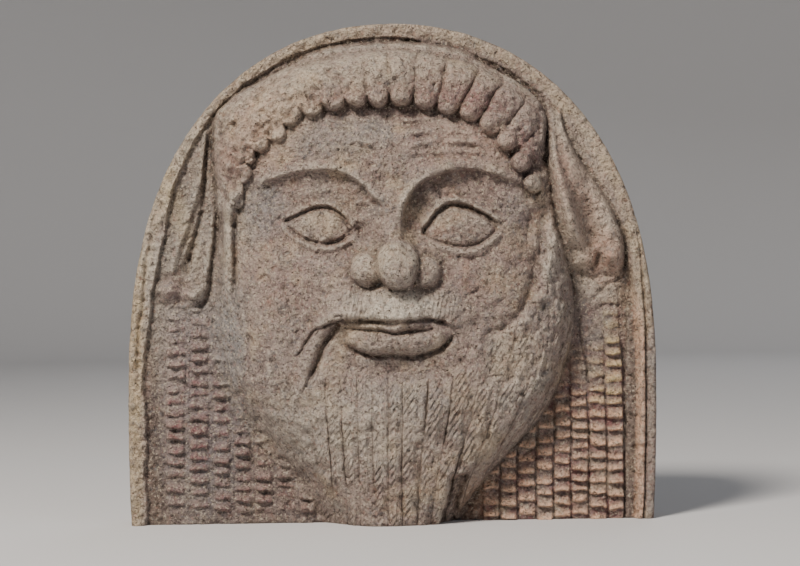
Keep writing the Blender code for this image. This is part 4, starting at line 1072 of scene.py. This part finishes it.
def firedTerracotta():
    # coarse sandy terracotta, pressed into a mould by hand, fired buff and long buried: it gives
    # no gloss at all, a gritty broken light, cloudy grey and pink stains and pale lime in the hollows
    material = bpy.data.materials.new("firedTerracotta")
    material.use_nodes = True
    tree = material.node_tree
    shader = tree.nodes["Principled BSDF"]
    coords = addNode(tree, "ShaderNodeTexCoord").outputs["Object"]
    place = addNode(tree, "ShaderNodeVectorMath", {"operation": "SCALE"},
                    {0: coords, "Scale": 1 / mm}).outputs[0]
    colour = mottled(tree, place, linear(clay["base"]), clay["stains"], 3.7, 4.0, 0.6)
    size, low, high, least, most = clay["patchy"]
    breakUp = addNode(tree, "ShaderNodeTexNoise", None,
                      {"Vector": place, "Scale": 1 / size, "Detail": 4.0, "Roughness": 0.7})
    patchy = addNode(tree, "ShaderNodeMapRange", None,
                     {"Value": breakUp.outputs["Fac"], "From Min": low, "From Max": high,
                      "To Min": least, "To Max": most})
    # the coats: stains, soil and paint, with painted shade and painted highlight among them
    for layer, tint in clay["coats"]:
        coat = addNode(tree, "ShaderNodeAttribute", {"attribute_name": layer})
        amount = addNode(tree, "ShaderNodeMath", {"operation": "MULTIPLY", "use_clamp": True},
                         {0: coat.outputs["Fac"], 1: patchy.outputs[0]})
        mix = addNode(tree, "ShaderNodeMix", {"data_type": "RGBA"},
                      {"Factor": amount.outputs[0], 6: colour, 7: linear(tint)})
        colour = mix.outputs[2]
    colour = mottled(tree, place, colour, clay["sand"], 5.3, 2.0, 0.7)
    # partings: where the strands' count is a whole number, painted dark as their shade
    strand = addNode(tree, "ShaderNodeAttribute", {"attribute_name": "strand"})
    toParting = addNode(tree, "ShaderNodeMath", {"operation": "PINGPONG"}, {0: strand.outputs["Fac"], 1: 0.5})
    parting = addNode(tree, "ShaderNodeMapRange", {"interpolation_type": "SMOOTHSTEP"},
                      {"Value": toParting.outputs[0], "From Min": 0.0, "From Max": clay["parting"],
                       "To Min": 1.0, "To Max": 0.0})
    parted = addNode(tree, "ShaderNodeAttribute", {"attribute_name": "parted"})
    hollows = addNode(tree, "ShaderNodeMath", {"operation": "MULTIPLY"},
                      {0: parting.outputs[0], 1: parted.outputs["Fac"]})
    for size, low, high in clay["holes"]:
        spots = addNode(tree, "ShaderNodeTexNoise", None,
                        {"Vector": place, "Scale": 1 / size, "Detail": 1.0, "Roughness": 0.5})
        holes = addNode(tree, "ShaderNodeMapRange", {"interpolation_type": "SMOOTHSTEP"},
                        {"Value": spots.outputs["Fac"], "From Min": low, "From Max": high})
        hollows = addNode(tree, "ShaderNodeMath", {"operation": "MAXIMUM", "use_clamp": True},
                          {0: holes.outputs[0], 1: hollows.outputs[0]})
    mix = addNode(tree, "ShaderNodeMix", {"data_type": "RGBA"},
                  {"Factor": hollows.outputs[0], 6: colour, 7: linear(clay["hollowAndShadeColour"])})
    bump = addNode(tree, "ShaderNodeBump", {"invert": True},
                   {"Height": hollows.outputs[0], "Distance": clay["hollowDepth"] * mm})
    for size, depth in clay["relief"]:
        lumps = addNode(tree, "ShaderNodeTexNoise", None,
                        {"Vector": place, "Scale": 1 / size, "Detail": 3.0, "Roughness": 0.65})
        bump = addNode(tree, "ShaderNodeBump", None,
                       {"Height": lumps.outputs["Fac"], "Distance": depth * mm, "Normal": bump.outputs[0]})
    # the beard's scratches: noise stretched along the strands, across them counted from the strands
    size, stretch, depth = clay["scratches"]
    level = addNode(tree, "ShaderNodeSeparateXYZ", None, {0: place})
    level = addNode(tree, "ShaderNodeMath", {"operation": "DIVIDE"}, {0: level.outputs["Z"], 1: stretch})
    spread = addNode(tree, "ShaderNodeMath", {"operation": "MULTIPLY"},
                     {0: strand.outputs["Fac"], 1: beard["leftStrand"]})
    alongStrand = addNode(tree, "ShaderNodeCombineXYZ", None, {"X": spread.outputs[0], "Z": level.outputs[0]})
    scratches = addNode(tree, "ShaderNodeTexNoise", None,
                        {"Vector": alongStrand.outputs[0], "Scale": 1 / size, "Detail": 2.0,
                         "Roughness": 0.6})
    streaked = addNode(tree, "ShaderNodeAttribute", {"attribute_name": "streaked"})
    scratches = addNode(tree, "ShaderNodeMath", {"operation": "MULTIPLY"},
                        {0: scratches.outputs["Fac"], 1: streaked.outputs["Fac"]})
    bump = addNode(tree, "ShaderNodeBump", None,
                   {"Height": scratches.outputs[0], "Distance": depth * mm, "Normal": bump.outputs[0]})
    for layer, pitch, lean, depth in clay["cuts"]:
        turned = addNode(tree, "ShaderNodeMapping", {"vector_type": "TEXTURE"},
                         {"Vector": place, "Rotation": (0, radians(lean), 0)})
        wave = addNode(tree, "ShaderNodeTexWave", {"bands_direction": "X"},
                       {"Vector": turned.outputs[0], "Scale": clay["bandScale"] / pitch, "Distortion": 2.2,
                        "Detail": 1.0, "Detail Scale": 1.2})
        where = addNode(tree, "ShaderNodeAttribute", {"attribute_name": layer})
        cut = addNode(tree, "ShaderNodeMath", {"operation": "MULTIPLY"},
                      {0: wave.outputs["Fac"], 1: where.outputs["Fac"]})
        bump = addNode(tree, "ShaderNodeBump", None,
                       {"Height": cut.outputs[0], "Distance": depth * mm, "Normal": bump.outputs[0]})
    tree.links.new(mix.outputs[2], shader.inputs["Base Color"])
    tree.links.new(bump.outputs[0], shader.inputs["Normal"])
    shader.inputs["Roughness"].default_value = clay["roughness"]
    shader.inputs["Specular IOR Level"].default_value = clay["specular"]
    return material


def blurred(grid, size):
    # three running means one after another, along both axes: nearly a bell curve
    for axis in (0, 1):
        for _ in range(3):
            padded = np.concatenate([np.repeat(grid.take([0], axis), size + 1, axis), grid,
                                     np.repeat(grid.take([-1], axis), size, axis)], axis)
            sums = np.cumsum(padded, axis)
            width = 2 * size + 1
            grid = (sums.take(np.arange(width, sums.shape[axis]), axis)
                    - sums.take(np.arange(0, sums.shape[axis] - width), axis)) / width
    return grid


def sampled(grid, low, step, p, q):
    # bilinear reading of a grid whose rows go up and columns across
    x = np.clip((p - low[0]) / step, 0, grid.shape[1] - 1.001)
    y = np.clip((q - low[1]) / step, 0, grid.shape[0] - 1.001)
    column, row = x.astype(int), y.astype(int)
    fx, fy = x - column, y - row
    lower = grid[row, column] * (1 - fx) + grid[row, column + 1] * fx
    upper = grid[row + 1, column] * (1 - fx) + grid[row + 1, column + 1] * fx
    return lower * (1 - fy) + upper * fy


weatheringAndShade = dict(
    # grid on which hollows are looked for, and how many steps away the surface round a place is averaged
    low=(-114, -4), high=(114, 213), gridStep=0.7, near=2, broad=6,
    # by height over its surroundings, each with its limit: pale above them; darker in narrow and broad
    # hollows, dirt and painted shade
    rubbed=(0.35, 0.5), narrowDirtAndShade=(0.30, 0.8), broadDirtAndShade=(0.07, 0.4),
    # the rim's left band; the slope inside it on the right, peach and painted highlight; the channels beside
    # it, darker, the left one as painted shade
    rimPale=0.12, rimOchre=0.2, innerRimPeachAndHighlight=0.75, channelDarker=0.18, leftChannelShade=0.3, leftChannelDeepShade=0.1,
    # paint left on the side locks: rose on the left ones' ground, their lips and the lower lips; rose on the
    # right ones, whose lips are painted peach and lighter, a painted highlight
    leftCool=0.25, leftRose=(0.15, 0.3, 0.2), rightRose=(0.3, 0.45), rightLipPeachAndHighlight=(1.6, 0.3),
    # soft ovals on the front: centre, radii, turn, strength
    patches=dict(
        pale=(
            ((1, 92), (33, 8), 0, 0.6), ((4, 91), (17, 7), 0, 0.55), ((-3, 110), (15, 10), 0, 0.35),
            ((-52, 170), (26, 16), 40, 0.25), ((36, 158), (26, 10), -14, 0.25),
            ((-20, 189), (40, 11), 8, 0.25), ((4, 38), (34, 26), 0, 0.15), ((66, 118), (6, 26), 0, 0.4),
            ((-100, 90), (8, 110), 10, 0.3), ((80, 136), (17, 48), 12, 0.45),
            ((48, 60), (16, 34), -20, 0.3), ((-86, 110), (26, 90), 6, 0.3),
            ((84, 112), (16, 22), 10, 0.55), ((80, 142), (12, 34), 20, 0.25),
            ((52, 168), (20, 16), -40, 0.3), ((-22, 40), (42, 22), 0, 0.35),
            ((26, 180), (52, 16), -12, 0.2)),
        peach=(
            ((-52, 166), (30, 18), 46, 0.22), ((36, 158), (26, 10), -14, 0.15),
            ((88, 112), (13, 15), 0, 0.2), ((80, 130), (17, 48), 12, 0.22), ((33, 8), (9, 14), 0, 0.5)),
        ochre=(
            ((-48, 170), (34, 18), 46, 0.15), ((-108, 60), (4.6, 90), 0, 0.3),
            ((-94, 140), (6, 40), 20, 0.3), ((42, 102), (10, 8), 0, 0.2), ((6, 188), (50, 12), 0, 0.12)),
        cool=(
            ((-68, 80), (9, 26), 4, 0.75), ((-24, 162), (26, 12), 0, 0.35), ((6, 54), (30, 12), 0, 0.4),
            ((66, 92), (7, 22), -8, 0.2), ((-55, 130), (14, 15), 0, 0.55),
            ((50, 128), (10, 16), 0, 0.25), ((57, 157), (11, 20), -20, 0.2),
            ((-80, 44), (24, 52), 0, 0.65), ((-88, 82), (18, 24), 0, 0.55),
            ((-86, 96), (26, 100), 6, 0.25), ((84, 84), (12, 36), 0, 0.3),
            ((-40, 50), (30, 40), 20, 0.25)),
        rose=(
            ((-60, 156), (13, 17), -36, 0.2), ((78, 132), (9, 34), 18, 0.22),
            ((-84, 60), (26, 50), 0, 0.25), ((30, 150), (34, 20), -10, 0.16),
            ((40, 100), (26, 20), 0, 0.14), ((-50, 104), (16, 12), 0, 0.14),
            ((12, 176), (60, 9), 0, 0.35), ((44, 164), (22, 12), -38, 0.3),
            ((90, 111), (10, 13), 0, 0.6), ((80, 136), (10, 26), 20, 0.25),
            ((-92, 98), (10, 8), 0, 0.4), ((-70, 150), (8, 14), 0, 0.3), ((24, 162), (30, 8), -8, 0.14),
            ((68, 140), (5, 30), -10, 0.25), ((57, 158), (10, 20), -20, 0.4),
            ((32, 179), (44, 15), -16, 0.25), ((50, 118), (10, 16), 0, 0.15)),
        # these patches: less darkening under the lower lip; dirt and painted shade in the chip at the foot;
        # painted shade on the right of the nose tip
        grimeAndShade=(
            ((3, 63), (30, 10), 0, -0.6), ((30, 8), (7, 18), -12, 0.35), ((16, 104), (9, 9), 0, 0.25),
            ((10, 105), (4, 9), 0, 0.12)),
        # these patches: painted shade in the eye sockets under the brows, at (-30, 132) and (30, 133); the
        # others are soil colour
        soilAndShade=(
            ((64, 158), (9, 20), -14, 0.4), ((-30, 132), (30, 9), 0, 0.25),
            ((56, 116), (8, 20), 0, 0.2), ((-42, 36), (18, 22), 30, 0.35),
            ((57, 156), (10, 22), -20, 0.45), ((30, 133), (26, 13), 0, 0.3),
            ((-28, 158), (28, 11), 0, 0.2)),
    ),
)


def weatherAndShade(antefix):
    # coats as numbers at the vertices. Hollows are darker, dirt and painted shade: the mean height around a
    # place less its own height;
    # paint is left on the locks, more on their lips; the right ones' lips are painted lighter as highlight and
    # the locks' recesses darker as shade; the rest are ovals, (1 - r squared) times their strength, painted
    # shade on the nose and in the eye sockets among them
    mesh = antefix.data
    flat = np.zeros(3 * len(mesh.vertices))
    mesh.vertices.foreach_get("co", flat)
    x, y, z = flat.reshape(-1, 3).T / mm
    lean = radians(plaque["lean"])
    x = x + centreLine() / mm
    p, q = x * cos(lean) - z * sin(lean), x * sin(lean) + z * cos(lean)
    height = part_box("antefix")[1].y / mm - y
    step, corner, farCorner = weatheringAndShade["gridStep"], weatheringAndShade["low"], weatheringAndShade["high"]
    gridP, gridQ = np.meshgrid(np.arange(corner[0], farCorner[0], step),
                               np.arange(corner[1], farCorner[1], step))
    surface, _ = relief(gridP, gridQ)
    hollow = sampled(blurred(surface, weatheringAndShade["near"]) - surface, corner, step, p, q)
    broad = sampled(blurred(surface, weatheringAndShade["broad"]) - surface, corner, step, p, q)
    _, marks = relief(p, q)

    outside = smoothStep(0.5, -1.0, marks["depth"])
    right = outside * smoothStep(36, 38, p) * smoothStep(98.5, 97.5, p) * smoothStep(98, 88, q)
    left = outside * smoothStep(-99, -96, p) * (p < 0) * smoothStep(92, 82, q)
    crest = np.clip(marks["lockCrest"], 0, 1)
    # the slope inside the right-hand rim gets its peach tint and a painted highlight where it faces the light;
    # the channel beside it is darker
    edge, along = marks["edge"], marks["along"]
    innerRim = smoothStep(4.4, 5.0, edge) * smoothStep(8.8, 8.0, edge) * smoothStep(0.79, 0.84, along)
    channel = smoothStep(7.6, 8.6, edge) * smoothStep(97.5, 98.5, p) * smoothStep(110, 80, q)
    rimBand = smoothStep(6.5, 4.5, edge) * smoothStep(0.84, 0.79, along)
    # the channel inside the rim's left band is painted darker, as shade
    shadedLeftChannel = smoothStep(6.6, 7.8, edge) * smoothStep(15.5, 12.5, edge) * smoothStep(0.37, 0.33, along)
    rubbed, mostRubbed = weatheringAndShade["rubbed"]
    bare, lips, lower = weatheringAndShade["leftRose"]
    rose, blotched = weatheringAndShade["rightRose"]
    peach, less = weatheringAndShade["rightLipPeachAndHighlight"]
    # darker in hollows, narrow and broad: dirt and painted shade
    dirtAndShade = 0
    for amount, (share, most) in ((hollow, weatheringAndShade["narrowDirtAndShade"]), (broad, weatheringAndShade["broadDirtAndShade"])):
        dirtAndShade = dirtAndShade + np.clip(share * amount, 0, most)
    leftPaint = left * (bare + (lips + lower * smoothStep(74, 40, q)) * crest)
    rightPaint = right * (rose + blotched * noise(p, q, 5, 51)) * (1 - 0.6 * smoothStep(62, 74, q))
    # soil colour on the field outside the head, less on the lock crests so that the recesses above them are
    # painted darker, as shade
    soilAndLockShade = outside * smoothStep(8, 9.5, edge) * (0.5 - 0.15 * right + 0.1 * left) * (1 - 0.5 * crest)
    coats = dict(
        pale=np.clip(-rubbed * hollow, 0, mostRubbed) + weatheringAndShade["rimPale"] * rimBand,
        cool=weatheringAndShade["leftCool"] * left * (1 - crest),
        rose=leftPaint + rightPaint,
        # peach on the right-hand locks' lips is their tint and a painted highlight
        peach=(right * np.clip(peach * crest - less, 0, 1) * smoothStep(82, 66, q)
               + weatheringAndShade["innerRimPeachAndHighlight"] * innerRim),
        ochre=(right * crest * smoothStep(80, 86, p) * smoothStep(40, 56, q)
               + weatheringAndShade["rimOchre"] * rimBand),
        soilAndShade=soilAndLockShade + weatheringAndShade["channelDarker"] * channel + weatheringAndShade["leftChannelShade"] * shadedLeftChannel,
        grimeAndShade=dirtAndShade * (1 - 0.8 * right) + weatheringAndShade["leftChannelDeepShade"] * shadedLeftChannel,
    )
    for layer, ovals in weatheringAndShade["patches"].items():
        for centre, radii, turn, strength in ovals:
            coats[layer] += strength * np.clip(1 - inOval(p, q, centre, radii, turn), 0, 1)
    front = height > 0.7 * plaque["field"]
    numbers = {layer: np.clip(amount * front, 0, 1) for layer, amount in coats.items()}
    fromRelief = ("scored", "combed", "parted", "strand", "streaked")
    numbers.update({name: marks[name] * front for name in fromRelief})
    for name, amount in numbers.items():
        values = mesh.attributes.new(name, "FLOAT", "POINT")
        values.data.foreach_set("value", amount.astype(np.float32))


antefix = buildAntefix()
weatherAndShade(antefix)
antefix.data.materials.append(firedTerracotta())
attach(antefix, "root")
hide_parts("antefix")
print("clay: relief, weathering and material in place")


# stage: pale floor that curves up all round, soft light from the upper left

stage = dict(
    radius=3.2, rise=2.6, colour="#c9c9cb", roughness=0.9, worldColour="#f2f4f7", world=0.16,
    aim=(0, 0, 0.1),
    # name, place, size, power, colour
    lights=(
        ("key", (-0.62, -1.04, 1.24), 0.42, 46.0, "#fff6ea"),
        ("fill", (1.6, -1.4, 0.7), 1.6, 7.0, "#eef3ff"),
        ("back", (0.7, 1.8, 1.4), 1.2, 7.0, "#ffffff"),
    ),
)


def buildFloor():
    # a bowl: flat to two thirds of the radius, then a quarter ellipse up
    around = np.linspace(0, 2 * np.pi, 97)[:-1]
    out = np.concatenate([np.linspace(0.001, 2 / 3, 12),
                          2 / 3 + np.sin(np.linspace(0, np.pi / 2, 24)[1:]) / 3])
    up = np.where(out > 2 / 3, 1 - np.sqrt(np.clip(1 - ((out - 2 / 3) * 3) ** 2, 0, 1)), 0)
    ringX = stage["radius"] * out[:, None] * np.cos(around)
    ringY = stage["radius"] * out[:, None] * np.sin(around)
    ringZ = stage["rise"] * up[:, None] * np.ones_like(around)
    index = np.arange(ringX.size).reshape(ringX.shape)
    index = np.concatenate([index, index[:, :1]], axis=1)
    mesh = bpy.data.meshes.new("floor")
    points = np.column_stack([ringX.ravel(), ringY.ravel(), ringZ.ravel()])
    mesh.from_pydata(points, [], quadsOf(index, flip=True).tolist() + [index[0, :-1].tolist()])
    mesh.polygons.foreach_set("use_smooth", np.ones(len(mesh.polygons), bool))
    floor = bpy.data.objects.new("floor", mesh)
    bpy.context.scene.collection.objects.link(floor)
    paper = bpy.data.materials.new("matteCard")
    paper.use_nodes = True
    shader = paper.node_tree.nodes["Principled BSDF"]
    shader.inputs["Base Color"].default_value = linear(stage["colour"])
    shader.inputs["Roughness"].default_value = stage["roughness"]
    mesh.materials.append(paper)
    return floor


def addLight(name, place, size, power, colour):
    light = bpy.data.lights.new(name, "AREA")
    light.shape = "DISK"
    light.size = size
    light.energy = power
    light.color = linear(colour)[:3]
    lamp = bpy.data.objects.new(name, light)
    lamp.location = place
    direction = np.array(stage["aim"]) - np.array(place)
    lamp.rotation_mode = "QUATERNION"
    lamp.rotation_quaternion = Vector(direction).to_track_quat("-Z", "Y")
    bpy.context.scene.collection.objects.link(lamp)


buildFloor()
for light in stage["lights"]:
    addLight(*light)
world = bpy.data.worlds.new("studio")
world.use_nodes = True
world.node_tree.nodes["Background"].inputs["Color"].default_value = linear(stage["worldColour"])
world.node_tree.nodes["Background"].inputs["Strength"].default_value = stage["world"]
bpy.context.scene.world = world


# camera: straight on, level, turned with the plaque's lean

view = dict(lens=100.0, sensor=36.0, distance=933.3, aim=(3.15, 100.6))
camera = bpy.data.objects.new("camera", bpy.data.cameras.new("camera"))
camera.data.lens = view["lens"]
camera.data.sensor_width = view["sensor"]
camera.data.clip_start = 0.05
camera.location = toFrame(np.array([[*view["aim"], plaque["rim"] + view["distance"]]]))[0]
camera.rotation_euler = (radians(90), radians(plaque["lean"]), 0)
bpy.context.scene.collection.objects.link(camera)
bpy.context.scene.camera = camera

print("stage: floor, lights and camera in place")
